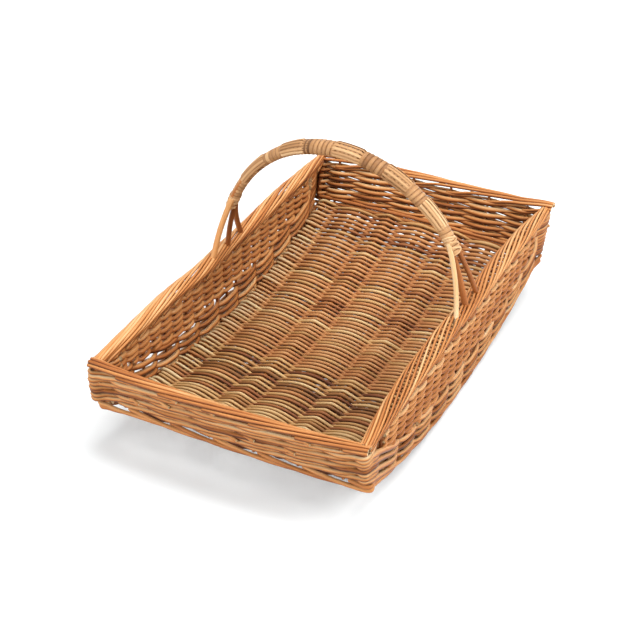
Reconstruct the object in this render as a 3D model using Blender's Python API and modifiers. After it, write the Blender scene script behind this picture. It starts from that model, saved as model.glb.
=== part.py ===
"""Garden trug: a shallow willow tray on a curved base, carried by a wrapped hoop handle.

Metres, +Z up. X is the width and Y the length, with the front end wall at -Y.
The origin is the middle of the flat patch that the curved base stands on.
"""
import math

import bmesh
import bpy
from mathutils import Vector

# Driving dimensions of the tray
RIM_LENGTH = 0.558        # outside, at the corners
RIM_WIDTH = 0.316         # outside, over the side borders
RIM_HEIGHT = 0.108        # top of the borders over the resting face
BASE_LENGTH = 0.519       # outside, at the foot
BASE_WIDTH = 0.307        # outside, at the foot
END_RISE = 0.0405         # the base's two ends over the resting face
REST_LENGTH = 0.030       # flat patch at the lowest part of the base
RIM_BOW = 0.009           # end walls bulge outwards at mid width, at the rim
FOOT_BOW = 0.004          # the same at the foot
GAP = 0.0003              # clearance between neighbouring pieces
CUT_OVERRUN = 0.004       # how far a bore's cutter runs past what it cuts

# Woven panels
SIDE_THICKNESS = 0.010
END_THICKNESS = 0.0125    # square to the leaning wall
FLOOR_THICKNESS = 0.012
FLOOR_HOLLOW = 0.0042     # how far either face of the floor sinks between two sticks
UPSETT_HEIGHT = 0.012     # the waling band that the sides start from
FOOT_SLOT = 0.0065        # open slots between an end wall and its foot rod
COURSE_GROOVE = 0.0012    # depth of the grooves between courses of weaving
END_COURSES = 4
SIDING_COURSES = 5
UPSETT_COURSES = 1

# Rods inside and along the panels
STICK_RADIUS = 0.003
STICK_COUNT = 7
STICK_MARGIN_SHARE = 0.113  # floor outside the last stick, as a share of the pitch
STAKE_RADIUS = 0.0022
STAKE_PITCH = 0.0235
STAKE_HOLD = 0.0035       # how far a side stake stands in its border
END_STAKE_RADIUS = 0.0022
END_STAKE_COUNT = 6
END_STAKE_SPREAD_SHARE = 0.811  # the outermost end stake's place across the half width
POST_RADIUS = 0.0035
POST_INSET = 0.0065       # post's axis in from the outside of the side wall
FOOT_RADIUS = 0.00325

# Borders
END_BORDER_WIDTH = 0.015
END_BORDER_HEIGHT = 0.0115
SIDE_BORDER_WIDTH = 0.020
SIDE_BORDER_HEIGHT = 0.014
SIDE_BORDER_SHARES = (0.66, 0.92, 1.0, 0.96, 0.86, 0.96, 1.0, 0.92, 0.66)
RIM_CROWN = 0.006         # the side rims arch up between the handle's legs and the corners

# Handle
HANDLE_RISE = 0.1545      # axis of the bundle over the rim
LEG_INSET = 0.008         # a leg's axis in from the outside of the side border
HANDLE_FULLNESS = 1.05    # exponent of the hoop's outline, 1 being an ellipse
HANDLE_LEAN = 0.012       # the hoop's top lies this far to the left of the middle
BUNDLE_ROD_RADIUS = 0.0032
LEG_RADIUS = 0.0042
LEG_NECK_RADIUS = 0.0028  # a leg is whittled down where it enters the siding
LEG_TIP_RADIUS = 0.0020
LEG_DEPTH = 0.055         # below the rim
LEG_SPREAD_STAKES = 1.5   # from leg to leg, in stake pitches
TIE_HEIGHT = 0.058        # of the end ties' middle over the rim
TIE_LENGTH = 0.008
TIE_THICKNESS = 0.0022
WRAP_RADIUS = 0.0011
WRAP_LOOPS = 24
LISTING_WIDTH = 0.0022
LISTING_THICKNESS = 0.0012

# Mesh fineness
BASE_STEPS = 11
END_STEPS = 8
RIDGE_SHARES = (-1 / 6, 1 / 6, 1 / 2)  # the floor's columns: two edges of a ridge, then a hollow
BUNDLE_STEPS = 16
FAN_STEPS = 4
LEG_STEPS = 3
LOOP_POINTS = 16
ROUND_STEPS = 12
TIE_STEPS = 20
FINE_SAMPLES = 400
SMOOTH_ANGLE = math.radians(40)
MERGE_DISTANCE = 0.00001

# Colours of the willow, as base colour and roughness
FLOOR_FINISH = ((0.50, 0.31, 0.13), 0.55)
SIDE_FINISH = ((0.46, 0.22, 0.07), 0.50)
END_FINISH = ((0.52, 0.25, 0.075), 0.48)
BORDER_FINISH = ((0.56, 0.28, 0.09), 0.45)
STICK_FINISH = ((0.36, 0.19, 0.08), 0.60)
LEG_FINISH = ((0.33, 0.13, 0.05), 0.40)
CANE_FINISH = ((0.55, 0.33, 0.14), 0.42)

PART_NAME = "garden_trug"
CUTTER_COLLECTION = "cutters"


def clear_scene():
    for old in list(bpy.data.objects):
        bpy.data.objects.remove(old, do_unlink=True)


def make_collection(name):
    collection = bpy.data.collections.new(name)
    bpy.context.scene.collection.children.link(collection)
    return collection


def make_material(name, finish):
    colour, roughness = finish
    material = bpy.data.materials.new(name)
    material.use_nodes = True
    shader = material.node_tree.nodes["Principled BSDF"]
    shader.inputs["Base Color"].default_value = (*colour, 1.0)
    shader.inputs["Roughness"].default_value = roughness
    shader.inputs["Metallic"].default_value = 0.0
    material.diffuse_color = (*colour, 1.0)
    return material


def blend(low, high, share):
    return low + (high - low) * share


def smooth_share(share):
    share = min(max(share, 0.0), 1.0)
    return share * share * (3.0 - 2.0 * share)


# Surfaces of the tray that every panel and rod follows

def base_z(y):
    """Underside of the curved base: flat in the middle, rising to both ends."""
    flat = REST_LENGTH / 2
    reach = max(abs(y) - flat, 0.0) / (BASE_LENGTH / 2 - flat)
    return END_RISE * reach * reach


def side_x(z):
    """Outside of a side wall, which leans out a little from foot to rim."""
    return blend(BASE_WIDTH, RIM_WIDTH, z / RIM_HEIGHT) / 2


def side_middle_x(z):
    return side_x(z) - SIDE_THICKNESS / 2


def end_y(x, z):
    """Outside of an end wall: flared from foot to rim and bowed across the width."""
    height_share = (z - END_RISE) / (RIM_HEIGHT - END_RISE)
    straight = blend(BASE_LENGTH, RIM_LENGTH, height_share) / 2
    bow = blend(FOOT_BOW, RIM_BOW, height_share)
    across = x / side_x(z)
    return straight + bow * (1.0 - across * across)


def end_lean():
    """Angle of an end wall from upright."""
    return math.atan2((RIM_LENGTH - BASE_LENGTH) / 2, RIM_HEIGHT - END_RISE)


def end_depth():
    """An end wall's thickness measured along the length, as the wall leans."""
    return END_THICKNESS / math.cos(end_lean())


def end_inner_y(x, z):
    return end_y(x, z) - end_depth()


def end_middle_y(x, z):
    return end_y(x, z) - end_depth() / 2


def end_border_y(x):
    """Axis of an end wall's border, which the wall's middle passes through."""
    return end_middle_y(x, RIM_HEIGHT - END_BORDER_HEIGHT / 2)


def foot_end_y(x):
    """Axis of an end wall's foot rod."""
    return end_y(x, END_RISE) - FOOT_RADIUS


def rim_crown(y):
    """How far a side rim arches over the level of the corners and of the handle's feet."""
    near = LEG_SPREAD_STAKES * STAKE_PITCH + 2 * LEG_RADIUS
    share = (abs(y) - near) / (side_reach(END_RISE) - near)
    return RIM_CROWN * math.sin(math.pi * min(max(share, 0.0), 1.0))


def siding_top():
    return RIM_HEIGHT - SIDE_BORDER_HEIGHT - GAP


def end_panel_top():
    return RIM_HEIGHT - END_BORDER_HEIGHT - GAP


def end_panel_foot():
    return END_RISE + 2 * FOOT_RADIUS + FOOT_SLOT


def upsett_foot(y):
    return stepped_z(y) + 2 * FOOT_RADIUS + GAP


def siding_foot(y):
    return upsett_foot(y) + UPSETT_HEIGHT + GAP


def base_stations():
    """Places along the length where the curved base bends, with one flat middle step."""
    reach = end_inner_y(side_x(END_RISE), END_RISE) - GAP
    flat = REST_LENGTH / 2
    half_steps = BASE_STEPS // 2
    outer = [blend(flat, reach, (i + 1) / half_steps) for i in range(half_steps)]
    return [-y for y in reversed(outer)] + [-flat, flat] + outer


def stepped_z(y):
    """Underside of the base as it is built, straight from station to station."""
    stations = base_stations()
    for here, there in zip(stations, stations[1:]):
        if here <= y <= there:
            return blend(base_z(here), base_z(there), (y - here) / (there - here))
    return base_z(y)


# Mesh and curve makers

def add_mesh(name, mesh, collection, material, smooth=False):
    piece = bpy.data.objects.new(name, mesh)
    collection.objects.link(piece)
    if material is not None:
        mesh.materials.append(material)
    if smooth:
        mesh.shade_smooth()
        mesh.set_sharp_from_angle(angle=SMOOTH_ANGLE)
    return piece


def close_mesh(name, points, faces):
    """A closed mesh from points and faces, with its faces turned outwards."""
    shape = bmesh.new()
    verts = [shape.verts.new(point) for point in points]
    for face in faces:
        shape.faces.new([verts[i] for i in face])
    bmesh.ops.recalc_face_normals(shape, faces=shape.faces)
    mesh = bpy.data.meshes.new(name)
    shape.to_mesh(mesh)
    shape.free()
    return mesh


def slab_mesh(name, outside, inside):
    """The solid between two grids of points that face each other."""
    rows, columns = len(outside), len(outside[0])
    points = [p for row in outside for p in row] + [p for row in inside for p in row]
    half = rows * columns

    def at(side, row, column):
        return side * half + row * columns + column

    faces = []
    for row in range(rows - 1):
        for column in range(columns - 1):
            corners = [(row, column), (row, column + 1), (row + 1, column + 1), (row + 1, column)]
            faces.append([at(0, r, c) for r, c in corners])
            faces.append([at(1, r, c) for r, c in reversed(corners)])
    edge = [(0, c) for c in range(columns)]
    edge += [(r, columns - 1) for r in range(1, rows)]
    edge += [(rows - 1, c) for c in range(columns - 2, -1, -1)]
    edge += [(r, 0) for r in range(rows - 2, 0, -1)]
    for here, there in zip(edge, edge[1:] + edge[:1]):
        faces.append([at(0, *here), at(0, *there), at(1, *there), at(1, *here)])
    return close_mesh(name, points, faces)


def loft_mesh(name, rings):
    """A closed solid through rings of points, capped at both ends."""
    count = len(rings[0])
    points = [p for ring in rings for p in ring]
    faces = [list(range(count)), list(range(len(points) - count, len(points)))]
    for ring in range(len(rings) - 1):
        for i in range(count):
            j = (i + 1) % count
            low, high = ring * count, (ring + 1) * count
            faces.append([low + i, low + j, high + j, high + i])
    return close_mesh(name, points, faces)


def rod_curve(name, rods, radius, roundness, collection, material):
    """Rods with flat ends: each is a list of (point, radius) along its axis."""
    curve = bpy.data.curves.new(name, "CURVE")
    curve.dimensions = "3D"
    curve.bevel_depth = radius
    curve.bevel_resolution = roundness
    curve.use_fill_caps = True
    curve.twist_mode = "MINIMUM"
    for rod in rods:
        spline = curve.splines.new("POLY")
        spline.points.add(len(rod) - 1)
        for knot, (point, knot_radius) in zip(spline.points, rod):
            knot.co = (*point, 1.0)
            knot.radius = knot_radius / radius
        spline.use_smooth = True
    piece = bpy.data.objects.new(name, curve)
    collection.objects.link(piece)
    if material is not None:
        curve.materials.append(material)
    return piece


def rod_cutter(name, rods, radius, roundness, cutters):
    """The same rods as one mesh of closed cylinders, to cut their bores with."""
    guide = rod_curve(name + "_guide", rods, radius, roundness, cutters, None)
    bpy.context.view_layer.update()
    evaluated = guide.evaluated_get(bpy.context.evaluated_depsgraph_get())
    mesh = bpy.data.meshes.new_from_object(evaluated)
    shape = bmesh.new()
    shape.from_mesh(mesh)
    bmesh.ops.remove_doubles(shape, verts=shape.verts, dist=MERGE_DISTANCE)
    bmesh.ops.recalc_face_normals(shape, faces=shape.faces)
    shape.to_mesh(mesh)
    shape.free()
    cutter = add_mesh(name, mesh, cutters, None)
    cutter.matrix_world = guide.matrix_world
    bpy.data.objects.remove(guide, do_unlink=True)
    cutter.hide_render = True
    cutter.display_type = "WIRE"
    return cutter


def combine(piece, other, operation):
    step = piece.modifiers.new(other.name, "BOOLEAN")
    step.operation = operation
    step.solver = "EXACT"
    step.object = other


def cut(piece, cutter):
    combine(piece, cutter, "DIFFERENCE")


def even_rod(points, radius):
    return [(point, radius) for point in points]


def widened(rods, extra):
    return [[(point, radius + extra) for point, radius in rod] for rod in rods]


def course_profile(courses):
    """Height shares and groove shares of a panel face: a groove between courses."""
    heights = [i / (2 * courses) for i in range(2 * courses + 1)]
    grooves = [float(i % 2 == 0 and 0 < i < 2 * courses) for i in range(2 * courses + 1)]
    return list(zip(heights, grooves))


# Floor

def floor_half_width(z):
    """Half width of the floor where its underside is at a height, between the side walls."""
    return min(side_x(z), side_x(z + FLOOR_THICKNESS)) - SIDE_THICKNESS - GAP


def stick_xs():
    width = 2 * min(floor_half_width(0), floor_half_width(END_RISE))
    pitch = width / (STICK_COUNT - 1 + 2 * STICK_MARGIN_SHARE)
    return [(i - (STICK_COUNT - 1) / 2) * pitch for i in range(STICK_COUNT)]


def floor_columns(half):
    """Places across the floor, each with how hollow it is: 0 on a stick's ridge, 1 between two."""
    xs = stick_xs()
    pitch = xs[1] - xs[0]
    columns = [(x + share * pitch, int(share == max(RIDGE_SHARES))) for x in xs for share in RIDGE_SHARES]
    inner = [(x, hollow) for x, hollow in columns if abs(x) < half]
    return [(-half, 0)] + inner + [(half, 0)]


def floor_grid(lift, sink):
    """Points of the floor's underside, or of its top when lifted, sunk between the sticks."""
    stations = base_stations()
    grid = []
    for index, y in enumerate(stations):
        z = base_z(y)
        row = []
        for x, hollow in floor_columns(floor_half_width(z)):
            at_end = index in (0, len(stations) - 1)
            reach = end_inner_y(x, END_RISE) - GAP if at_end else abs(y)
            row.append(Vector((x, math.copysign(reach, y), z + lift + sink(y) * hollow)))
        grid.append(row)
    return grid


def hollow_below(y):
    """The underside is hollow between the sticks too, but not where it stands."""
    return FLOOR_HOLLOW if abs(y) > REST_LENGTH / 2 else 0.0


def hollow_above(_y):
    return -FLOOR_HOLLOW


def base_line(x_at, lift, end, radius):
    """A rod along the base, lifted off its underside, that stops short of the foot rods."""
    half = BASE_LENGTH / 2 - REST_LENGTH / 2
    slope = math.atan(2 * END_RISE / half)
    reach = end - GAP - radius * math.sin(slope)
    places = [-reach] + base_stations()[1:-1] + [reach]
    return even_rod([Vector((x_at(base_z(y)), y, base_z(y) + lift)) for y in places], radius)


def stick_rod(x):
    """A floor stick: it follows the base and butts against both foot rods."""
    return base_line(lambda _z: x, FLOOR_THICKNESS / 2, foot_end_y(x) - FOOT_RADIUS, STICK_RADIUS)


def stick_bore(x):
    rod = stick_rod(x)
    ahead = (rod[0][0] - rod[1][0]).normalized() * CUT_OVERRUN
    behind = (rod[-1][0] - rod[-2][0]).normalized() * CUT_OVERRUN
    longer = [(rod[0][0] + ahead, STICK_RADIUS)] + rod[1:-1] + [(rod[-1][0] + behind, STICK_RADIUS)]
    return widened([longer], GAP)[0]


def make_floor(part, cutters, finish, stick_finish):
    underside = floor_grid(0, hollow_below)
    top = floor_grid(FLOOR_THICKNESS, hollow_above)
    mesh = slab_mesh("floor_weave", underside, top)
    floor = add_mesh("floor_weave", mesh, part, finish)
    xs = stick_xs()
    cutter = rod_cutter("stick_bores", [stick_bore(x) for x in xs], STICK_RADIUS, 1, cutters)
    cut(floor, cutter)
    for index, x in enumerate(xs):
        name = "floor_stick_" + str(index + 1)
        rod_curve(name, [stick_rod(x)], STICK_RADIUS, 1, part, stick_finish)


# End walls

def end_face(side, depth, groove_sign):
    """Grid of one face of an end wall: rows up the wall, columns across it."""
    rows = []
    for height, groove in course_profile(END_COURSES):
        z = blend(end_panel_foot(), end_panel_top(), height)
        row = []
        for step in range(END_STEPS + 1):
            x = side_x(z) * (2 * step / END_STEPS - 1)
            y = end_y(x, z) - depth - groove_sign * groove * COURSE_GROOVE
            row.append(Vector((x, side * y, z)))
        rows.append(row)
    return rows


def upright(side, x_at, bottom, top, radius):
    """A straight upright rod in the middle of an end wall."""
    points = []
    for z in (bottom, top):
        x = x_at(z)
        points.append(Vector((x, side * end_middle_y(x, z), z)))
    return even_rod(points, radius)


def upright_foot(radius):
    """Where an upright's axis starts, so that its slanted end clears the foot rod."""
    return END_RISE + 2 * FOOT_RADIUS + GAP + radius * math.sin(abs(end_lean()))


def end_stake(side, index, bottom, top):
    across = END_STAKE_SPREAD_SHARE * (2 * index / (END_STAKE_COUNT - 1) - 1)
    return upright(side, lambda z: across * side_x(z), bottom, top, END_STAKE_RADIUS)


def end_stakes(side, bottom, top):
    return [end_stake(side, index, bottom, top) for index in range(END_STAKE_COUNT)]


def corner_rod(side, hand, bottom, top):
    return upright(side, lambda z: hand * (side_x(z) - POST_INSET), bottom, top, POST_RADIUS)


def end_border_mesh(name, side):
    rings = []
    for step in range(END_STEPS + 1):
        x = side_x(RIM_HEIGHT) * (2 * step / END_STEPS - 1)
        centre_y = end_border_y(x)
        ring = []
        for turn in range(ROUND_STEPS):
            angle = 2 * math.pi * turn / ROUND_STEPS
            y = centre_y + END_BORDER_WIDTH / 2 * math.cos(angle)
            z = RIM_HEIGHT - END_BORDER_HEIGHT / 2 * (1 - math.sin(angle))
            ring.append(Vector((x, side * y, z)))
        rings.append(ring)
    return loft_mesh(name, rings)


def end_foot_rod(side):
    reach = side_x(END_RISE)
    points = []
    for step in range(END_STEPS + 1):
        x = reach * (2 * step / END_STEPS - 1)
        points.append(Vector((x, side * foot_end_y(x), END_RISE + FOOT_RADIUS)))
    return even_rod(points, FOOT_RADIUS)


def make_end(label, side, part, cutters, finishes):
    outside = end_face(side, 0, 1)
    inside = end_face(side, end_depth(), -1)
    wale = add_mesh(label + "_wale", slab_mesh(label + "_wale", outside, inside), part, finishes["end"])
    border_mesh = end_border_mesh(label + "_border", side)
    border = add_mesh(label + "_border", border_mesh, part, finishes["border"], smooth=True)

    stake_foot = upright_foot(END_STAKE_RADIUS)
    for index, stake in enumerate(end_stakes(side, stake_foot, end_panel_top())):
        name = label + "_stake_" + str(index + 1)
        rod_curve(name, [stake], END_STAKE_RADIUS, 1, part, finishes["stick"])
    bores = end_stakes(side, stake_foot - CUT_OVERRUN, end_panel_top() + CUT_OVERRUN)
    bores = widened(bores, GAP)
    cut(wale, rod_cutter(label + "_stake_bores", bores, END_STAKE_RADIUS, 1, cutters))

    post_foot = upright_foot(POST_RADIUS)
    for hand, hand_label in ((-1, "left"), (1, "right")):
        name = "corner_post_" + label + "_" + hand_label
        post = [corner_rod(side, hand, post_foot, RIM_HEIGHT)]
        rod_curve(name, post, POST_RADIUS, 2, part, finishes["stick"])
        bore = [corner_rod(side, hand, post_foot - CUT_OVERRUN, RIM_HEIGHT + CUT_OVERRUN)]
        cutter = rod_cutter(name + "_bore", widened(bore, GAP), POST_RADIUS, 2, cutters)
        cut(wale, cutter)
        cut(border, cutter)
    rod_curve(label + "_foot_rod", [end_foot_rod(side)], FOOT_RADIUS, 2, part, finishes["border"])


# Side walls

def side_reach(z):
    """Half length of a side panel at a height, up to the end walls' inner faces."""
    return end_inner_y(side_x(z), z) - GAP


def side_face(hand, foot, top, courses, depth, groove_sign):
    """Grid of one face of a side panel between two heights given along the length."""
    stations = base_stations()
    rows = []
    for height, groove in course_profile(courses):
        row = []
        for index, y in enumerate(stations):
            z = blend(foot(y), top(y), height)
            if index in (0, len(stations) - 1):
                y = math.copysign(side_reach(z), y)
                z = blend(foot(y), top(y), height)
            x = side_x(z) - depth - groove_sign * groove * COURSE_GROOVE
            row.append(Vector((hand * x, y, z)))
        rows.append(row)
    return rows


def side_panel(name, hand, foot, top, courses, part, finish):
    outside = side_face(hand, foot, top, courses, 0, 1)
    inside = side_face(hand, foot, top, courses, SIDE_THICKNESS, -1)
    return add_mesh(name, slab_mesh(name, outside, inside), part, finish)


def stake_ys():
    """Side stakes stand a quarter pitch off the handle's legs."""
    reach = min(side_reach(END_RISE), side_border_reach()) - STAKE_PITCH / 2
    shift = STAKE_PITCH / 4
    first = -int((reach + shift) / STAKE_PITCH)
    last = int((reach - shift) / STAKE_PITCH)
    return [shift + index * STAKE_PITCH for index in range(first, last + 1)]


def side_stakes(hand, overrun):
    """Side stakes from the foot rod up into the underside of the border."""
    rods = []
    for y in stake_ys():
        top = RIM_HEIGHT - SIDE_BORDER_HEIGHT + rim_crown(y) + STAKE_HOLD
        seat = max(upsett_foot(y - STAKE_RADIUS), upsett_foot(y + STAKE_RADIUS)) + GAP
        points = [Vector((hand * side_middle_x(z), y, z)) for z in (seat - overrun, top)]
        rods.append(even_rod(points, STAKE_RADIUS))
    return rods


def side_border_reach():
    """Half length of a side border: it butts on the end walls and on their borders."""
    underside = RIM_HEIGHT - SIDE_BORDER_HEIGHT
    past_border = end_border_y(side_x(RIM_HEIGHT)) - END_BORDER_WIDTH / 2 - GAP
    return min(past_border, side_reach(underside))


def side_border_share(y):
    """A side border's width at a place along it, as a share of its greatest width."""
    last = len(SIDE_BORDER_SHARES) - 1
    place = (y / side_border_reach() + 1) / 2 * last
    index = min(int(place), last - 1)
    return blend(SIDE_BORDER_SHARES[index], SIDE_BORDER_SHARES[index + 1], place - index)


def side_border_mesh(name, hand):
    reach = side_border_reach()
    rings = []
    for y in [-reach] + base_stations()[1:-1] + [reach]:
        half_width = SIDE_BORDER_WIDTH * side_border_share(y) / 2
        centre_x = side_x(RIM_HEIGHT) - half_width
        top = RIM_HEIGHT + rim_crown(y)
        ring = []
        for turn in range(ROUND_STEPS):
            angle = 2 * math.pi * turn / ROUND_STEPS
            x = centre_x + half_width * math.cos(angle)
            z = top - SIDE_BORDER_HEIGHT / 2 * (1 - math.sin(angle))
            ring.append(Vector((hand * x, y, z)))
        rings.append(ring)
    return loft_mesh(name, rings)


def side_foot_rod(hand):
    end = foot_end_y(side_x(END_RISE)) - FOOT_RADIUS
    return base_line(lambda z: hand * (side_x(z) - FOOT_RADIUS), FOOT_RADIUS, end, FOOT_RADIUS)


def make_side(label, hand, part, cutters, finishes, leg_cutter):
    def upsett_top(y):
        return upsett_foot(y) + UPSETT_HEIGHT

    def top(y):
        return siding_top() + rim_crown(y)

    name = label + "_upsett"
    upsett = side_panel(name, hand, upsett_foot, upsett_top, UPSETT_COURSES, part, finishes["end"])
    name = label + "_siding"
    siding = side_panel(name, hand, siding_foot, top, SIDING_COURSES, part, finishes["side"])
    border_mesh = side_border_mesh(label + "_border", hand)
    border = add_mesh(label + "_border", border_mesh, part, finishes["border"], smooth=True)
    cut(border, leg_cutter)
    combine(border, rod_cutter(label + "_stakes", side_stakes(hand, 0), STAKE_RADIUS, 1, cutters), "UNION")
    bores = widened(side_stakes(hand, CUT_OVERRUN), GAP)
    stake_cutter = rod_cutter(label + "_stake_bores", bores, STAKE_RADIUS, 1, cutters)
    cut(upsett, stake_cutter)
    cut(siding, stake_cutter)
    cut(siding, leg_cutter)
    rod_curve(label + "_foot_rod", [side_foot_rod(hand)], FOOT_RADIUS, 2, part, finishes["border"])


# Handle

def hoop_point(angle):
    """Axis of the hoop, from the left border over the top to the right border."""
    share = max(math.sin(angle), 0.0) ** HANDLE_FULLNESS
    half_span = RIM_WIDTH / 2 - LEG_INSET
    x = -half_span * math.cos(angle) - HANDLE_LEAN * share * share
    return Vector((x, 0, RIM_HEIGHT + HANDLE_RISE * share))


def spaced(points, count):
    """The same line with its points evenly spaced along its length."""
    lengths = [0.0]
    for here, there in zip(points, points[1:]):
        lengths.append(lengths[-1] + (there - here).length)
    result = []
    segment = 0
    for index in range(count):
        target = lengths[-1] * index / (count - 1)
        while segment < len(points) - 2 and lengths[segment + 1] < target:
            segment += 1
        span = lengths[segment + 1] - lengths[segment]
        share = (target - lengths[segment]) / span
        result.append(points[segment].lerp(points[segment + 1], share))
    return result


def hoop_line(count):
    fine = [hoop_point(math.pi * i / FINE_SAMPLES) for i in range(FINE_SAMPLES + 1)]
    return spaced(fine, count)


def line_frames(points):
    """Each point with the direction along the line and the one away from the hoop's middle."""
    frames = []
    for index, point in enumerate(points):
        ahead = points[min(index + 1, len(points) - 1)]
        behind = points[max(index - 1, 0)]
        along = (ahead - behind).normalized()
        outward = Vector((-along.z, 0, along.x))
        frames.append((point, along, outward))
    return frames


def bundle_places():
    """The three rods in the bundle, as offsets outward and along Y: two above, one below."""
    pitch = 2 * BUNDLE_ROD_RADIUS + GAP
    reach = pitch / math.sqrt(3)
    return {"bow": (-reach, 0), "front": (reach / 2, -pitch / 2), "back": (reach / 2, pitch / 2)}


def bundle_radius():
    return -bundle_places()["bow"][0] + BUNDLE_ROD_RADIUS


def handle_rod(which):
    """One rod: leg in the left wall, fan, bundle over the top, fan, leg in the right wall."""
    outward_offset, bundle_y = bundle_places()[which]
    leg_spread = LEG_SPREAD_STAKES * STAKE_PITCH
    leg_y = {"front": -leg_spread, "bow": 0, "back": leg_spread}[which]
    fan_top = RIM_HEIGHT + TIE_HEIGHT - TIE_LENGTH
    frames = line_frames(hoop_line(FINE_SAMPLES))
    bundled = [index for index, frame in enumerate(frames) if frame[0].z >= fan_top]
    last = len(frames) - 1
    rising = [round(blend(0, bundled[0], step / FAN_STEPS)) for step in range(FAN_STEPS + 1)]
    falling = [round(blend(bundled[-1], last, step / FAN_STEPS)) for step in range(FAN_STEPS + 1)]
    rod = []
    for station in rising + bundle_stations(frames) + falling:
        point, _along, outward = frames[station]
        spread = smooth_share((fan_top - point.z) / (fan_top - RIM_HEIGHT))
        place = point + outward * outward_offset * (1 - spread)
        place.y = blend(bundle_y, leg_y, spread)
        rod.append((place, blend(BUNDLE_ROD_RADIUS, LEG_RADIUS, spread)))
    tip_z = RIM_HEIGHT - LEG_DEPTH
    for hand, add in ((-1, lambda knot: rod.insert(0, knot)), (1, rod.append)):
        for step in range(LEG_STEPS):
            share = step / (LEG_STEPS - 1)
            z = blend(siding_top() - GAP, tip_z, share)
            radius = blend(LEG_NECK_RADIUS, LEG_TIP_RADIUS, share)
            add((Vector((hand * side_middle_x(z), leg_y, z)), radius))
    return rod


def leg_bores(hand):
    """The legs on one side, a clearance wider and deeper, to cut their sockets."""
    bores = []
    for which in ("front", "bow", "back"):
        rod = handle_rod(which)
        leg = [knot for knot in rod if knot[0].x * hand > 0 and knot[0].z < RIM_HEIGHT + TIE_HEIGHT / 2]
        ends = sorted(leg, key=lambda knot: knot[0].z)
        tip, radius = ends[0]
        ends[0] = (tip - Vector((0, 0, GAP)), radius)
        bores.append(ends)
    return widened(bores, GAP)


def tie_stations(frames):
    """Indices along a fine hoop line of the middles of the two end ties."""
    height = RIM_HEIGHT + TIE_HEIGHT
    above = [index for index, frame in enumerate(frames) if frame[0].z >= height]
    return above[0], above[-1]


def bundle_stations(frames):
    """Indices along a fine hoop line from tie to tie, with short steps beside the ties."""
    first, last = tie_stations(frames)
    near = round(TIE_LENGTH / (frames[1][0] - frames[0][0]).length)
    inner = [round(blend(first + near, last - near, step / BUNDLE_STEPS)) for step in range(BUNDLE_STEPS + 1)]
    return [first] + inner + [last]


def make_ties(part, finish):
    """End ties: turned collars round the bundle where the wrapping stops."""
    frames = line_frames(hoop_line(FINE_SAMPLES))
    inner = bundle_radius() + GAP
    outer = inner + TIE_THICKNESS
    half = TIE_LENGTH / 2
    profile = [(outer, half), (outer, -half), (inner, -half), (inner, half)]
    for label, index in zip(("left", "right"), tie_stations(frames)):
        point, along, _outward = frames[index]
        name = "wrap_tie_" + label
        points = [Vector((radius, 0, height)) for radius, height in profile]
        mesh = bpy.data.meshes.new(name)
        mesh.from_pydata(points, [(0, 1), (1, 2), (2, 3), (3, 0)], [])
        tie = add_mesh(name, mesh, part, finish)
        screw = tie.modifiers.new("turned", "SCREW")
        screw.steps = TIE_STEPS
        screw.render_steps = TIE_STEPS
        screw.use_merge_vertices = True
        screw.merge_threshold = MERGE_DISTANCE
        tie.location = point
        tie.rotation_euler = along.to_track_quat("Z", "Y").to_euler()


def wrap_points():
    """The wrapping: a helix round the bundle whose ends turn square into the end ties."""
    frames = line_frames(hoop_line(FINE_SAMPLES))
    step = (frames[1][0] - frames[0][0]).length
    first, last = tie_stations(frames)
    face = TIE_LENGTH / 2 + GAP
    straight = 2 * WRAP_RADIUS
    bend = 2 * WRAP_RADIUS
    start = first + (face + straight + bend) / step
    stop = last - (face + straight + bend) / step
    radius = (bundle_radius() + GAP + WRAP_RADIUS) / math.cos(math.pi / LOOP_POINTS)

    def at(position, angle):
        low = int(position)
        share = position - low
        point = frames[low][0].lerp(frames[low + 1][0], share)
        outward = frames[low][2].lerp(frames[low + 1][2], share).normalized()
        return point + outward * radius * math.cos(angle) + Vector((0, radius * math.sin(angle), 0))

    half_step = math.pi / LOOP_POINTS
    last_angle = 2 * math.pi * WRAP_LOOPS
    points = [at(start - (straight + bend) / step, -half_step), at(start - bend / step, -half_step)]
    count = WRAP_LOOPS * LOOP_POINTS
    for index in range(count + 1):
        share = index / count
        points.append(at(blend(start, stop, share), last_angle * share))
    points.append(at(stop + bend / step, last_angle + half_step))
    points.append(at(stop + (straight + bend) / step, last_angle + half_step))
    return points


def least_self_gap(points, radius, apart):
    """Least clear distance between stretches of one tube that are some points apart."""
    least = math.inf
    for index, here in enumerate(points):
        for there in points[index + apart:]:
            least = min(least, (here - there).length)
    return least - 2 * radius


def make_wrap(part, finish):
    points = wrap_points()
    rod_curve("handle_wrap", [even_rod(points, WRAP_RADIUS)], WRAP_RADIUS, 1, part, finish)
    gap = least_self_gap(points, WRAP_RADIUS, LOOP_POINTS // 2)
    print("handle_wrap least gap to itself: %.2f mm" % (gap * 1000))


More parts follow.
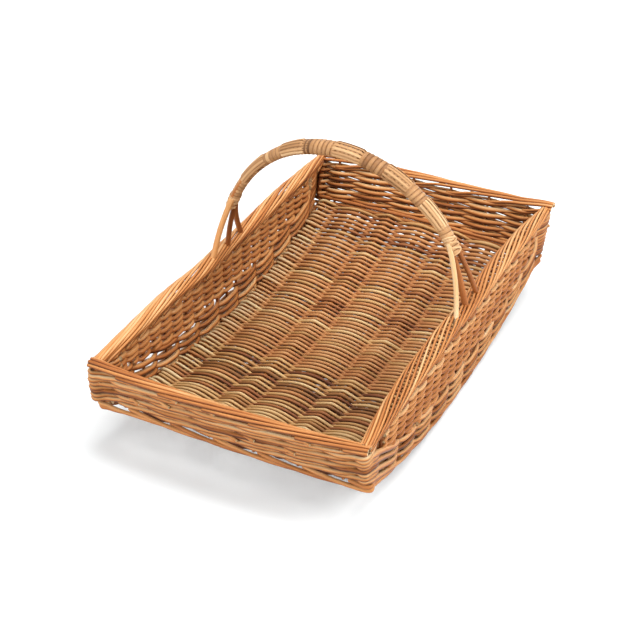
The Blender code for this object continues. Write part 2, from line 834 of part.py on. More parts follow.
def make_listing(part, finish):
    """Two flat strips side by side in the groove between the hoop's two upper rods."""
    rod_out, rod_y = bundle_places()["back"]
    edge = LISTING_WIDTH + GAP / 2
    side_step = rod_y - edge
    lift = rod_out + math.sqrt((BUNDLE_ROD_RADIUS + GAP) ** 2 - side_step ** 2)
    frames = line_frames(hoop_line(FINE_SAMPLES))
    stations = bundle_stations(frames)
    for label, low, high in (("front", -edge, -GAP / 2), ("back", GAP / 2, edge)):
        points = []
        faces = []
        for index, station in enumerate(stations):
            point, _along, outward = frames[station]
            base = point + outward * lift
            points += [base + Vector((0, low, 0)), base + Vector((0, high, 0))]
            if index:
                corner = len(points)
                faces.append((corner - 4, corner - 2, corner - 1, corner - 3))
        name = "handle_listing_" + label
        mesh = bpy.data.meshes.new(name)
        mesh.from_pydata(points, [], faces)
        listing = add_mesh(name, mesh, part, finish)
        solid = listing.modifiers.new("thickness", "SOLIDIFY")
        solid.thickness = LISTING_THICKNESS
        solid.offset = 1


def make_handle(part, finishes):
    for which, name in (("bow", "handle_bow"), ("front", "handle_front_rod"), ("back", "handle_back_rod")):
        rod_curve(name, [handle_rod(which)], LEG_RADIUS, 2, part, finishes["leg"])
    make_ties(part, finishes["cane"])
    make_wrap(part, finishes["cane"])
    make_listing(part, finishes["cane"])


def main():
    clear_scene()
    part = make_collection(PART_NAME)
    cutters = make_collection(CUTTER_COLLECTION)
    finishes = {
        "floor": make_material("floor_willow", FLOOR_FINISH),
        "side": make_material("side_willow", SIDE_FINISH),
        "end": make_material("waling_willow", END_FINISH),
        "border": make_material("border_willow", BORDER_FINISH),
        "stick": make_material("stick_willow", STICK_FINISH),
        "leg": make_material("handle_willow", LEG_FINISH),
        "cane": make_material("wrapping_cane", CANE_FINISH),
    }
    make_floor(part, cutters, finishes["floor"], finishes["stick"])
    make_end("front", -1, part, cutters, finishes)
    make_end("back", 1, part, cutters, finishes)
    for label, hand in (("left", -1), ("right", 1)):
        legs = rod_cutter(label + "_leg_bores", leg_bores(hand), LEG_RADIUS, 2, cutters)
        make_side(label, hand, part, cutters, finishes, legs)
    make_handle(part, finishes)


main()
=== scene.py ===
"""Garden trug: every willow rod of the weaving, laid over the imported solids. Metres, +Z up."""
import math

import bpy
import numpy as np
from mathutils import Matrix, Vector


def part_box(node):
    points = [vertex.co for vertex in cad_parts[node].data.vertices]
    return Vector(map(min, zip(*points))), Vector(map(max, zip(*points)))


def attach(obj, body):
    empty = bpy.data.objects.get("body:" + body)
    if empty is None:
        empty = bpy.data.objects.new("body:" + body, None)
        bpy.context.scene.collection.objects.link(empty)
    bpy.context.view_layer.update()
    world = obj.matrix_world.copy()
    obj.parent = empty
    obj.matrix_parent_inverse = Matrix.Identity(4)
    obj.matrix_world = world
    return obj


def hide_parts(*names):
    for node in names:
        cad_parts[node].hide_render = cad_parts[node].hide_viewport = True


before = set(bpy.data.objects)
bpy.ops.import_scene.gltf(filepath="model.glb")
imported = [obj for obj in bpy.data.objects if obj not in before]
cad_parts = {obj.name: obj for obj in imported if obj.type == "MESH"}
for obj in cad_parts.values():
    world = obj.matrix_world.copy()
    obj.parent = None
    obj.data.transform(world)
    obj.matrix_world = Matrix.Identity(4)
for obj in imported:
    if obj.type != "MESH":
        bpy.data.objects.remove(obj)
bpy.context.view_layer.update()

# Sizes of the tray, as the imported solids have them
RIM_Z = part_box("front_border")[1].z
RIM_HALF_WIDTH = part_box("front_border")[1].x
END_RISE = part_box("front_foot_rod")[0].z
END_WALL_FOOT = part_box("front_wale")[0].z
END_WALL_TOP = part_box("front_wale")[1].z
SIDE_WALL_TOP = RIM_Z - 0.0143
BASE_HALF_WIDTH = 0.1535
RIM_HALF_LENGTH = 0.279
BASE_HALF_LENGTH = 0.2595
REST_HALF_LENGTH = 0.015
RIM_BOW = 0.009
FOOT_BOW = 0.004
SIDE_DEPTH = 0.010
END_DEPTH = 0.013
POST_INSET = 0.0065
POST_RADIUS = 0.0035

STICK_COUNT = 7
STICK_PITCH = 0.046
STICK_RADIUS = 0.0040
STICK_XS = [STICK_PITCH * (i - STICK_COUNT // 2) for i in range(STICK_COUNT)]
END_STAKE_COUNT = 6
END_STAKE_REACH = 0.811
STAKE_RADIUS = 0.0018
END_STAKE_SHARES = [END_STAKE_REACH * (2 * i / (END_STAKE_COUNT - 1) - 1)
                    for i in range(END_STAKE_COUNT)]
SIDE_STAKE_COUNT = 20
SIDE_STAKE_PITCH = 0.0235
SIDE_STAKE_SHIFT = 0.005875
SIDE_STAKE_YS = [SIDE_STAKE_SHIFT + SIDE_STAKE_PITCH * i
                 for i in range(-SIDE_STAKE_COUNT // 2, SIDE_STAKE_COUNT // 2)]

# Both walls of a turn are made as front and right; -1 turns them to the back and the left
WALLS = {1: ("front", "right"), -1: ("back", "left")}

# Distance from point to point along a rod
FINE_STEP = 0.0023
STEP = 0.0025
BORDER_STEP = 0.003
SEAM_STEP = 0.004

# How far rods drift off their line
SMALL_DRIFT = 0.0003
FLOOR_DRIFT = 0.00035
DRIFT = 0.0004
LARGE_DRIFT = 0.0005

rng = np.random.default_rng(7)


# Smooth steps and curves

def ease(share):
    """0 up to 0, 1 from 1 on, and smooth in between."""
    share = np.clip(share, 0, 1)
    return share * share * (3 - 2 * share)


def grow(place, start, width):
    """From 0 at start up to 1, over a width."""
    return ease((place - start) / width)


def fade(place, stop, width):
    """From 1 down to 0 at stop, over a width."""
    return ease((stop - place) / width)


def locate(places, stops):
    """The stretch between two stops that each place is on, its length and the share passed."""
    index = np.clip(np.searchsorted(stops, places) - 1, 0, len(stops) - 2)
    step = stops[index + 1] - stops[index]
    return index, step, np.clip((places - stops[index]) / step, 0, 1)


def swing(places, stops, values, peaks=0.0):
    """Values carried smoothly from stop to stop; peaks is the steepness kept at each stop."""
    stops, values = np.asarray(stops), np.asarray(values)
    peaks = np.broadcast_to(peaks, len(stops))
    index, _, share = locate(places, stops)
    square, cube = share ** 2, share ** 3
    carried = (3 * square - 2 * cube + (cube - 2 * square + share) * peaks[index]
               + (cube - square) * peaks[index + 1])
    return values[index] + (values[index + 1] - values[index]) * carried


def through(places, stops, values):
    """Values on a smooth curve through the stops, which doesn't level out at each one."""
    stops, values = np.asarray(stops, float), np.asarray(values, float)
    slopes = np.gradient(values, stops)
    index, step, share = locate(places, stops)
    square, cube = share ** 2, share ** 3
    return ((2 * cube - 3 * square + 1) * values[index] + (3 * square - 2 * cube) * values[index + 1]
            + step * ((cube - 2 * square + share) * slopes[index] + (cube - square) * slopes[index + 1]))


def weave(places, stops, depths):
    """In and out round the stakes: level where a stake is passed, and quick in between."""
    depths = np.asarray(depths)
    index, _, share = locate(places, np.asarray(stops))
    return depths[index] + (depths[index + 1] - depths[index]) * grow(share, 0.22, 0.56)


def wander(places, amount, length=0.05):
    """A slow random drift along a rod."""
    places = np.asarray(places)
    count = int((places.max() - places.min()) / length) + 3
    knots = places.min() + length * (np.arange(count) - 0.5)
    drift = rng.normal(0, amount, count)
    return swing(places, knots, drift)


def taper(count, butt, tip, flip):
    """Radii from the butt of a rod to its tip, or the other way round."""
    sizes = np.linspace(butt, tip, count)
    return sizes[::-1] if flip else sizes


def relax(path, times=2):
    """Rounds off a path's corners."""
    path = np.asarray(path, float)
    for _ in range(times):
        path[1:-1] = 0.25 * path[:-2] + 0.5 * path[1:-1] + 0.25 * path[2:]
    return path


def pick(ranges, odds):
    """A tone from one of several ranges."""
    return rng.choice([rng.uniform(*limits) for limits in ranges], p=odds)


# Places on the tray

SKEW_YS = [-0.30, -0.20, -0.05, 0.10, 0.30]
SKEW_SHARES = [-0.030, -0.020, -0.004, 0.0, 0.012]
CORNER_LIFT = 0.004


def base_z(y):
    """Height of the curved base, which is flat in its middle."""
    reach = np.maximum(np.abs(y) - REST_HALF_LENGTH, 0) / (BASE_HALF_LENGTH - REST_HALF_LENGTH)
    return END_RISE * reach ** 2


def side_x(z):
    """Outer face of the right wall."""
    return BASE_HALF_WIDTH + (RIM_HALF_WIDTH - BASE_HALF_WIDTH) * z / RIM_Z


def end_y(x, z):
    """How far out the bowed outer face of an end wall lies."""
    height = (z - END_RISE) / (RIM_Z - END_RISE)
    straight = BASE_HALF_LENGTH + (RIM_HALF_LENGTH - BASE_HALF_LENGTH) * height
    bow = FOOT_BOW + (RIM_BOW - FOOT_BOW) * height
    return straight + bow * (1 - (x / side_x(z)) ** 2)


def side_place(y, z, depth):
    """A point in the right wall, some way out from its middle surface."""
    return np.stack([side_x(z) - SIDE_DEPTH / 2 + depth, y, z], -1)


def end_place(x, z, depth):
    """A point in the front wall, some way out from its middle surface."""
    return np.stack([x, -(end_y(x, z) - END_DEPTH / 2 + depth), z], -1)


def post_place(z):
    """Axis of the front right corner post."""
    x = side_x(z) - POST_INSET
    return x, -(end_y(x, z) - END_DEPTH / 2)


def corner_arc(x, y, z, ring, first, last, count):
    """Part of a level turn about a corner, from one angle in degrees to another."""
    angle = np.radians(np.linspace(first, last, count))
    return np.stack([x + ring * np.cos(angle), y + ring * np.sin(angle), np.full(count, z)], -1)


def out_of_true(path):
    """The real tray is narrower at its front right corner, and wider and higher at the back right."""
    skew = through(path[:, 1], SKEW_YS, SKEW_SHARES)
    lift = CORNER_LIFT * grow(path[:, 1], 0.15, 0.13) * grow(path[:, 0], 0.03, 0.12)
    path[:, 2] += lift * grow(path[:, 2], 0.06, 0.04)
    path[:, 0] *= 1 + skew * grow(path[:, 0], 0.02, 0.10)
    return path


# Rods

SIDES = 8
TIP_REACH_SHARE = 0.2
TIP_RADIUS_SHARE = 0.82
GRAIN_SPREAD = 40
# Painted shade round a rod: tone + shade * (cos - LIT_SHARE), from the lit side round to the underside
LIT_SHARE = 0.7
SHARP_DEGREES = 50
CUT_SKIN = 1
CREAM_SKIN = 2


def directions(path, facing):
    """Unit vectors at each point of a path: along it, towards facing, and to the side."""
    along = np.gradient(path, axis=0)
    along /= np.linalg.norm(along, axis=1)[:, None]
    facing = np.broadcast_to(np.asarray(facing, float), path.shape)
    up = facing - (facing * along).sum(1)[:, None] * along
    up /= np.linalg.norm(up, axis=1)[:, None]
    return along, up, np.cross(along, up)


def link_object(name, data):
    linked = bpy.data.objects.new(name, data)
    bpy.context.scene.collection.objects.link(linked)
    return linked


class Rods:
    """Round rods gathered into one mesh; each has its tone, with painted shade round it, and a grain that
    follows it.
    """

    def __init__(self, turn=1):
        self.turn = turn
        self.points, self.grain, self.tone = [], [], []
        self.faces, self.paint = [], []
        self.count = 0

    def add(self, path, radius, tone, facing=(0, 0, 1), flat=1.0, skin=0, shade=0.22):
        """A rod along path, painted palest towards facing and darker away from it as painted shade, where
        it is flat times as thick as it is wide.
        """
        path = np.asarray(path, float).copy()
        path[:, :2] *= self.turn
        path = out_of_true(path)
        radius = np.broadcast_to(np.asarray(radius, float), len(path))
        tone = np.broadcast_to(np.asarray(tone, float), len(path))
        along, up, side = directions(path, facing)
        angle = 2 * np.pi * np.arange(SIDES) / SIDES
        ring = (up[:, None] * np.cos(angle)[None, :, None] * flat
                + side[:, None] * np.sin(angle)[None, :, None])
        centres = np.concatenate([path[:1] - along[:1] * radius[0] * TIP_REACH_SHARE, path,
                                  path[-1:] + along[-1:] * radius[-1] * TIP_REACH_SHARE])
        ring = np.concatenate([ring[:1], ring, ring[-1:]])
        size = np.concatenate([radius[:1] * TIP_RADIUS_SHARE, radius, radius[-1:] * TIP_RADIUS_SHARE])
        tone = np.pad(tone, 1, "edge")
        length = np.concatenate([[0], np.cumsum(np.linalg.norm(np.diff(centres, axis=0), axis=1))])
        body = centres[:, None] + ring * size[:, None, None]
        offset = rng.uniform(0, GRAIN_SPREAD, 3)
        grain = np.stack(np.broadcast_arrays(np.cos(angle) * size[:, None], np.sin(angle) * size[:, None],
                                             length[:, None]), -1) + offset
        tip_grain = np.array([[0, 0, 0], [0, 0, length[-1]]]) + offset
        # Painted shade and highlight: the side away from facing, mostly the underside, is painted darker,
        # the side towards it a little paler
        around = tone[:, None] + shade * (np.cos(angle) - LIT_SHARE)
        self.points.append(np.concatenate([body.reshape(-1, 3), centres[:1], centres[-1:]]))
        self.grain.append(np.concatenate([grain.reshape(-1, 3), tip_grain]))
        self.tone.append(np.concatenate([around.ravel(), tone[:1], tone[-1:]]))
        self.add_faces(len(centres), skin)

    def add_faces(self, rows, skin):
        """Quads round the rod, and a fan of cut wood over each end."""
        column = np.arange(SIDES)
        beside = (column + 1) % SIDES
        row = np.arange(rows - 1)[:, None] * SIDES
        quads = np.stack([row + column, row + beside, row + SIDES + beside, row + SIDES + column], -1)
        low_tip = rows * SIDES
        last = (rows - 1) * SIDES
        low_cap = np.stack([beside, column, np.full(SIDES, low_tip)], -1)
        high_cap = np.stack([last + column, last + beside, np.full(SIDES, low_tip + 1)], -1)
        self.faces += (quads.reshape(-1, 4) + self.count).tolist()
        self.faces += (np.concatenate([low_cap, high_cap]) + self.count).tolist()
        self.paint += [skin] * ((rows - 1) * SIDES) + [CUT_SKIN] * (2 * SIDES)
        self.count += rows * SIDES + 2

    def build(self, name, materials, slot, nodes):
        mesh = bpy.data.meshes.new(name)
        mesh.from_pydata(np.concatenate(self.points).tolist(), [], self.faces)
        for material in materials:
            mesh.materials.append(material)
        mesh.polygons.foreach_set("material_index", np.array(self.paint, np.int32))
        tone = mesh.attributes.new("tone", "FLOAT", "POINT")
        tone.data.foreach_set("value", np.concatenate(self.tone).astype(np.float32))
        grain = mesh.attributes.new("grain", "FLOAT_VECTOR", "POINT")
        grain.data.foreach_set("vector", np.concatenate(self.grain).astype(np.float32).ravel())
        mesh.shade_smooth()
        mesh.set_sharp_from_angle(angle=math.radians(SHARP_DEGREES))
        piece = link_object(name, mesh)
        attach(piece, "root")
        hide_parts(*nodes)
        return piece


# Materials: a tone picks its colour from these stops, darkest first, which dark rods and the painted shade
# in grooves and under rods reach

HONEY_STOPS = [
    (0.00, (0.085, 0.026, 0.008)),
    (0.20, (0.210, 0.064, 0.018)),
    (0.40, (0.400, 0.135, 0.036)),
    (0.60, (0.575, 0.252, 0.083)),
    (0.80, (0.700, 0.400, 0.180)),
    (1.00, (0.800, 0.610, 0.370)),
]
CANE_STOPS = [
    (0.00, (0.070, 0.032, 0.015)),
    (0.30, (0.260, 0.120, 0.048)),
    (0.55, (0.460, 0.245, 0.108)),
    (0.75, (0.620, 0.370, 0.180)),
    (1.00, (0.800, 0.600, 0.360)),
]
CREAM_STOPS = [
    (0.00, (0.115, 0.042, 0.015)),
    (0.40, (0.330, 0.145, 0.048)),
    (0.60, (0.490, 0.268, 0.100)),
    (0.80, (0.600, 0.385, 0.175)),
    (1.00, (0.720, 0.545, 0.300)),
]
BROWN_STOPS = [
    (0.00, (0.095, 0.030, 0.012)),
    (0.20, (0.210, 0.070, 0.025)),
    (0.40, (0.360, 0.140, 0.048)),
    (0.60, (0.500, 0.235, 0.088)),
    (0.80, (0.600, 0.350, 0.160)),
    (1.00, (0.700, 0.520, 0.300)),
]
CUT_STOPS = [(0.3, (0.55, 0.36, 0.17)), (0.7, (0.80, 0.62, 0.36))]

# Noise scales per metre, across a rod and along it
PATCH_SCALE = (120, 9)
STREAK_SCALE = (1700, 45)
SPECKLE_SCALE = (1500, 300)


def shade_nodes(name):
    material = bpy.data.materials.new(name)
    material.use_nodes = True
    tree = material.node_tree
    return material, tree, tree.nodes["Principled BSDF"]


def colour_by(value, stops, tree, shader):
    """Base colour from a value, by way of a colour ramp."""
    node = tree.nodes.new("ShaderNodeValToRGB")
    elements = node.color_ramp.elements
    elements[0].position, elements[0].color = stops[0][0], (*stops[0][1], 1)
    elements[1].position, elements[1].color = stops[-1][0], (*stops[-1][1], 1)
    for position, colour in stops[1:-1]:
        element = elements.new(position)
        element.color = (*colour, 1)
    tree.links.new(value, node.inputs[0])
    tree.links.new(node.outputs["Color"], shader.inputs["Base Color"])


def math_node(tree, operation, *values):
    node = tree.nodes.new("ShaderNodeMath")
    node.operation = operation
    for socket, value in zip(node.inputs, values):
        if isinstance(value, (int, float)):
            socket.default_value = value
        else:
            tree.links.new(value, socket)
    return node.outputs[0]


def grain_noise(tree, scale, detail):
    """Noise stretched along each rod."""
    attribute = tree.nodes.new("ShaderNodeAttribute")
    attribute.attribute_name = "grain"
    stretch = tree.nodes.new("ShaderNodeVectorMath")
    stretch.operation = "MULTIPLY"
    tree.links.new(attribute.outputs["Vector"], stretch.inputs[0])
    across, along = scale
    stretch.inputs[1].default_value = (across, across, along)
    noise = tree.nodes.new("ShaderNodeTexNoise")
    noise.inputs["Scale"].default_value = 1
    noise.inputs["Detail"].default_value = detail
    tree.links.new(stretch.outputs[0], noise.inputs["Vector"])
    return noise.outputs["Fac"]


def willow(name, roughness, stops):
    """A rod's skin: its tone, painted shade included, with slow patches and fine streaks along it."""
    material, tree, shader = shade_nodes(name)
    tone = tree.nodes.new("ShaderNodeAttribute")
    tone.attribute_name = "tone"
    patches = grain_noise(tree, PATCH_SCALE, 2)
    streaks = grain_noise(tree, STREAK_SCALE, 3)
    value = math_node(tree, "MULTIPLY_ADD", patches, 0.50, -0.25)
    value = math_node(tree, "ADD", value, tone.outputs["Fac"])
    fine = math_node(tree, "MULTIPLY_ADD", streaks, 0.40, -0.20)
    value = math_node(tree, "ADD", value, fine)
    colour_by(value, stops, tree, shader)
    bump = tree.nodes.new("ShaderNodeBump")
    bump.inputs["Strength"].default_value = 0.25
    bump.inputs["Distance"].default_value = 0.0003
    tree.links.new(streaks, bump.inputs["Height"])
    tree.links.new(bump.outputs["Normal"], shader.inputs["Normal"])
    shader.inputs["Roughness"].default_value = roughness
    shader.inputs["Specular IOR Level"].default_value = 0.14
    return material


def cut_wood(name):
    """The pale pith that shows where a rod was cut."""
    material, tree, shader = shade_nodes(name)
    colour_by(grain_noise(tree, SPECKLE_SCALE, 2), CUT_STOPS, tree, shader)
    shader.inputs["Roughness"].default_value = 0.7
    return material


HONEY = willow("willow_rods", 0.42, HONEY_STOPS)
CANE = willow("split_cane", 0.36, CANE_STOPS)
CREAM = willow("pale_willow", 0.42, CREAM_STOPS)
BROWN = willow("floor_willow", 0.42, BROWN_STOPS)
CUT = cut_wood("cut_willow")


# Floor

FLOOR_FRONT = -0.2445
FLOOR_BACK = 0.2525
FLOOR_ROD = 0.00188
FLOOR_MIDDLE = 0.0085
FLOOR_PITCH = 0.0035
FLOOR_SPANS = [1, 1, 1, 2]
ROD_END_RANGE = (0.001, 0.007)
PASS_STEEPNESS = [0.9, 0.0, 1.0, 0.0, 1.0, 0.0, 0.9]
STICK_YS = np.linspace(-0.2485, 0.2535, 70)

CREAM_TONES, DARK_TONES, PLAIN_TONES = (0.58, 0.78), (0.16, 0.32), (0.38, 0.53)
# Odds of cream rods and of dark ones, in even and odd rows in front, and further back
FRONT_ODDS = [(0.45, 0.30), (0.55, 0.22)]
BACK_ODDS = (0.07, 0.22)
CREAM_FRONT = -0.058
CREAM_FROM_TONE = 0.54
# Floor rods are painted paler on their crests and darker in the valleys, as painted highlight and shade
CREST_HIGHLIGHT_AND_VALLEY_SHADE = 0.21
EDGE_TONE = 0.24
FLOOR_SHADE = 0.26


def floor_point(x, y, depth):
    """A point of the floor, some way up from its middle and square to its slope."""
    slope = 2 * END_RISE * np.maximum(np.abs(y) - REST_HALF_LENGTH, 0) * np.sign(y)
    slope = slope / (BASE_HALF_LENGTH - REST_HALF_LENGTH) ** 2
    size = np.sqrt(1 + slope ** 2)
    return np.stack([x, y - depth * slope / size, base_z(y) + FLOOR_MIDDLE + depth / size], -1)


def floor_pitch(y):
    """Rows are further apart in the front half, and a little closer again at its end."""
    return FLOOR_PITCH + 0.0006 * fade(y, -0.03, 0.05) - 0.0004 * fade(y, -0.12, 0.04)


def floor_bow(x, y):
    """Rows near an end wall take on its bow."""
    bow = FOOT_BOW * (1 - (x / BASE_HALF_WIDTH) ** 2)
    return np.sign(y) * bow * grow(np.abs(y), 0.19, 0.05)


def floor_tone(y, row):
    """Tone and skin: cream rods with dark ones between them in front, honey brown further back, all painted
    darker as shade, those in front most.
    """
    front = y < CREAM_FRONT + rng.uniform(-0.012, 0.012)
    cream, dark = FRONT_ODDS[row % 2] if front else BACK_ODDS
    tone = pick([CREAM_TONES, DARK_TONES, PLAIN_TONES], [cream, dark, 1 - cream - dark])
    pale = tone > CREAM_FROM_TONE or rng.random() < (0.4 if front else 0.1)
    # Painted shade of the tray's floor: rods in front are painted 0.13 darker, the rest 0.03
    return tone + (-0.13 if front else -0.03), CREAM_SKIN if pale else 0


def floor_pass(y, index, heading, start, stop, lift):
    """A rod's way across the floor, with its height over the sticks' middle."""
    signs = np.array([(-1) ** (stick + index) for stick in range(STICK_COUNT)])
    xs = np.arange(start, stop, FINE_STEP) * heading
    depth = swing(xs, STICK_XS, signs * lift, PASS_STEEPNESS)
    ys = y + wander(xs, FLOOR_DRIFT) + floor_bow(xs, y)
    return floor_point(xs, ys, depth), depth


def floor_turn(y, next_y, index, heading, lift):
    """A rod's way round the outermost stick into the next row."""
    sign = (-1) ** (index + (STICK_COUNT - 1 if heading > 0 else 0))
    angle = np.linspace(0.15, 0.85, 6) * np.pi
    xs = heading * (STICK_XS[-1] + lift * np.sin(angle))
    ys = y + (next_y - y) * angle / np.pi
    depth = sign * lift * np.cos(angle)
    return floor_point(xs, ys, depth), depth


def floor_rod(rods, rows, row, span, heading):
    """One rod, which crosses the floor span times; returns the next rod's heading."""
    size = FLOOR_ROD * rng.uniform(0.90, 1.12) * (1 + 0.10 * grow(rows[row], 0.04, 0.08))
    lift = STICK_RADIUS + size
    edge = STICK_XS[-1]
    last = row + span - 1
    stretches = []
    for index in range(row, last + 1):
        start = -edge if index > row else -edge - rng.uniform(*ROD_END_RANGE)
        stop = edge if index < last else edge + rng.uniform(*ROD_END_RANGE)
        stretches.append(floor_pass(rows[index], index, heading, start, stop, lift))
        if index < last:
            stretches.append(floor_turn(rows[index], rows[index + 1], index, heading, lift))
        heading = -heading
    path = relax(np.concatenate([points for points, _ in stretches]), 1)
    heights = np.concatenate([depth for _, depth in stretches])
    sizes = taper(len(path), size * 1.12, size * 0.85, rng.random() < 0.5)
    tone, skin = floor_tone(rows[row], row)
    # Painted highlight on the crests over the sticks, painted shade in the valleys between them
    tone = tone + CREST_HIGHLIGHT_AND_VALLEY_SHADE * heights / lift
    tone = tone + EDGE_TONE * grow(-path[:, 0], 0.112, 0.015)
    rods.add(path, sizes, tone, skin=skin, shade=FLOOR_SHADE)
    return heading


def make_floor():
    rods, sticks = Rods(), Rods()
    rows = []
    y = FLOOR_FRONT
    while y < FLOOR_BACK:
        rows.append(y)
        y += floor_pitch(y) * rng.uniform(0.94, 1.06)
    row = 0
    heading = 1
    while row < len(rows):
        span = min(int(rng.choice(FLOOR_SPANS)), len(rows) - row)
        heading = floor_rod(rods, rows, row, span, heading)
        row += span
    rods.build("floor_rods", [BROWN, CUT, CREAM], "floor_willow", ["floor_weave"])
    for x in STICK_XS:
        path = floor_point(x + wander(STICK_YS, DRIFT, 0.1), STICK_YS, 0)
        sticks.add(path, STICK_RADIUS, rng.uniform(0.3, 0.5))
    names = ["floor_stick_" + str(i + 1) for i in range(STICK_COUNT)]
    sticks.build("floor_sticks", [HONEY, CUT], "stick_willow", names)


# Walls

CROWN_YS = [-0.27, -0.20, -0.13, -0.05, 0.0, 0.05, 0.13, 0.20, 0.27]
CROWN_HEIGHTS = {1: [0.0, 0.004, 0.008, 0.010, 0.009, 0.008, 0.008, 0.004, 0.0],
                 -1: [0.0, 0.004, 0.006, 0.003, 0.002, 0.001, 0.006, 0.004, 0.0]}

# Waling: the end wall's courses of three strands, and the band that they make along the side
COURSES = {1: 4, -1: 6}
WALE_FOOT = {1: END_WALL_FOOT + 0.0004, -1: END_WALL_FOOT}
WALE_ROD = {1: 0.0023, -1: 0.00195}
WALE_TONES, WALE_ODDS = [(0.64, 0.81), (0.36, 0.54)], [0.72, 0.28]
# Painted shade: in front only the strands' run along the right wall is painted darker, at the back the
# whole strand, whose inside face shows
WALE_DIMMING = {1: 0.07, -1: 0.08}
WALE_SHADE = 0.55
CORNER_BULGE = {1: 0.009, -1: 0.002}
CORNER_PLAY = 0.0012
INSIDE = 2
SLACK_SHARE = {1: 0.5, -1: 0.75}
BAND_ROWS = 7
BAND_ROD = {1: 0.0024, -1: 0.0026}
BAND_FOOT = 0.0092
BAND_PITCH = 0.0047
BAND_START = 0.0044

SIDING_ROD = 0.0023
SIDING_PITCH = 0.0040
SIDING_TONES, SIDING_ODDS = [(0.52, 0.66), (0.40, 0.52), (0.68, 0.78)], [0.6, 0.3, 0.1]
# Painted shade and light: the right wall's siding is painted darker and the left wall's paler, for the
# light each wall gets
SIDING_DIMMING = 0.03
SIDING_LENGTH_RANGE = (0.35, 0.75)
SIDING_FULLNESS = {1: 0.0, -1: 0.6}
INNER_FULLNESS = 0.26
FAR_FULLNESS = 0.32
END_FULLNESS = 0.25

STAKE_TONE = 0.45
POST_TONE = 0.4
# Tips of rods in the end wall that were cut off where they come out: across, and height
CUT_ENDS = [(-0.062, 0.0845), (-0.050, 0.098), (-0.007, 0.099), (0.033, 0.0755), (0.078, 0.074),
            (0.098, 0.097), (-0.147, 0.083), (0.012, 0.066), (-0.101, 0.071)]
CUT_END_ROD = 0.0018
CUT_END_TONE = 0.62


def crown(y, turn):
    """How far the side rims arch up over the level of the corners."""
    return through(y, CROWN_YS, CROWN_HEIGHTS[turn])


def level_z(level, turn):
    """Height of a strand of waling where it lies outside a corner post."""
    return WALE_FOOT[turn] + (END_WALL_TOP + 0.001 - WALE_FOOT[turn]) * (level + 0.5) / (2 * COURSES[turn])


def band_z(level, y, turn):
    """Height of a strand that follows the base along the side walls."""
    tight = BAND_FOOT + BAND_PITCH * level
    spread = level_z(level, turn) - END_RISE
    return base_z(y) + tight + (spread - tight) * grow(np.abs(y), 0.19, 0.065)


def band_top(y, turn):
    return band_z(BAND_ROWS - 1, y, turn) + 0.0022


def side_stops(turn):
    """Side stakes in the order they are met, going away from the front."""
    return sorted(turn * y for y in SIDE_STAKE_YS)


def front_stops(z):
    """Where the left post, the end stakes and the right post stand at a height."""
    post_x, _ = post_place(z)
    return [-post_x] + [share * side_x(z) for share in END_STAKE_SHARES] + [post_x]


def fullness(path):
    """Rods are packed closer on the inner faces and towards the ends, and fill more of them."""
    reach = np.abs(path[:, 1])
    depth = np.maximum(np.abs(path[:, 0]) - side_x(path[:, 2]) + SIDE_DEPTH / 2,
                       reach - end_y(path[:, 0], path[:, 2]) + END_DEPTH / 2)
    ends = grow(reach, 0.17, 0.05) * fade(reach, 0.262, 0.01)
    far = grow(reach, 0.255, 0.01)
    inside = fade(depth, 0.002, 0.005)
    return 1 + (INNER_FULLNESS + FAR_FULLNESS * far) * inside + END_FULLNESS * ends


def wale_face(states, middle, turn, size):
    """A strand's way over the end wall, with its heights at both posts.

    A state says how it passes a post or stake: outside and low, outside and high, or inside."""
    rise = level_z(1, turn) / 2 - level_z(0, turn) / 2
    slack = SLACK_SHARE[turn] * rise
    stops = front_stops(middle)
    passed = [POST_RADIUS] + [STAKE_RADIUS] * END_STAKE_COUNT + [POST_RADIUS]
    depths = [(-1 if state == INSIDE else 1) * (radius + size) for state, radius in zip(states, passed)]
    heights = [(-rise, rise, 0)[state] for state in states]
    for index in range(len(states) - 1, 0, -1):
        leaving = states[index - 1]
        stops.insert(index, (stops[index - 1] + stops[index]) / 2)
        heights.insert(index, (0, slack, -slack)[leaving])
        depths.insert(index, depths[index - 1] if leaving == 0 else 0)
    xs = np.arange(stops[0], stops[-1], STEP)
    z = middle + through(xs, stops, heights) + wander(xs, SMALL_DRIFT, 0.06)
    return end_place(xs, z, through(xs, stops, depths)), middle + heights[0], middle + heights[-1]


def corner_entry(level, ring):
    """Where a strand comes out of the left wall and round the left post."""
    post_x, post_y = post_place(level)
    ys = np.linspace(post_y + 0.030, post_y + 0.004, 10)
    tuck = side_place(ys, np.full(10, level), swing(ys, [ys[-1], ys[0]], [0.0042, -0.005]))
    tuck[:, 0] *= -1
    return [tuck, corner_arc(-post_x, post_y, level, ring, -165, -97, 6)]


def corner_exit(row, level, ring, turn):
    """Where a strand goes round the right post, and along the base or into the side wall."""
    post_x, post_y = post_place(level)
    arc = corner_arc(post_x, post_y, level, ring, -83, -7, 7)
    if row < BAND_ROWS:
        return [arc, band_run(row, post_y, turn)]
    ys = np.linspace(post_y + 0.003, post_y + 0.040, 12)
    depth = swing(ys, [ys[0], ys[-1]], [BAND_START, -0.004])
    return [arc, side_place(ys, level - 0.002 * grow(ys, ys[0], 0.03), depth)]


def band_run(row, start, turn):
    """A waling strand that has turned the corner and follows the base to the far post."""
    stakes = side_stops(turn)[1::2]
    _, post_y = post_place(0.07)
    stops = [start] + stakes + [-post_y]
    lift = STAKE_RADIUS + BAND_ROD[turn] - 0.0002
    depths = [BAND_START] + [lift * (-1) ** (index + row) for index in range(len(stakes))] + [-lift]
    ys = np.arange(start + 0.003, -post_y - 0.004, STEP)
    z = band_z(row, ys, turn) + wander(ys, LARGE_DRIFT)
    return side_place(ys, z, weave(ys, stops, depths))


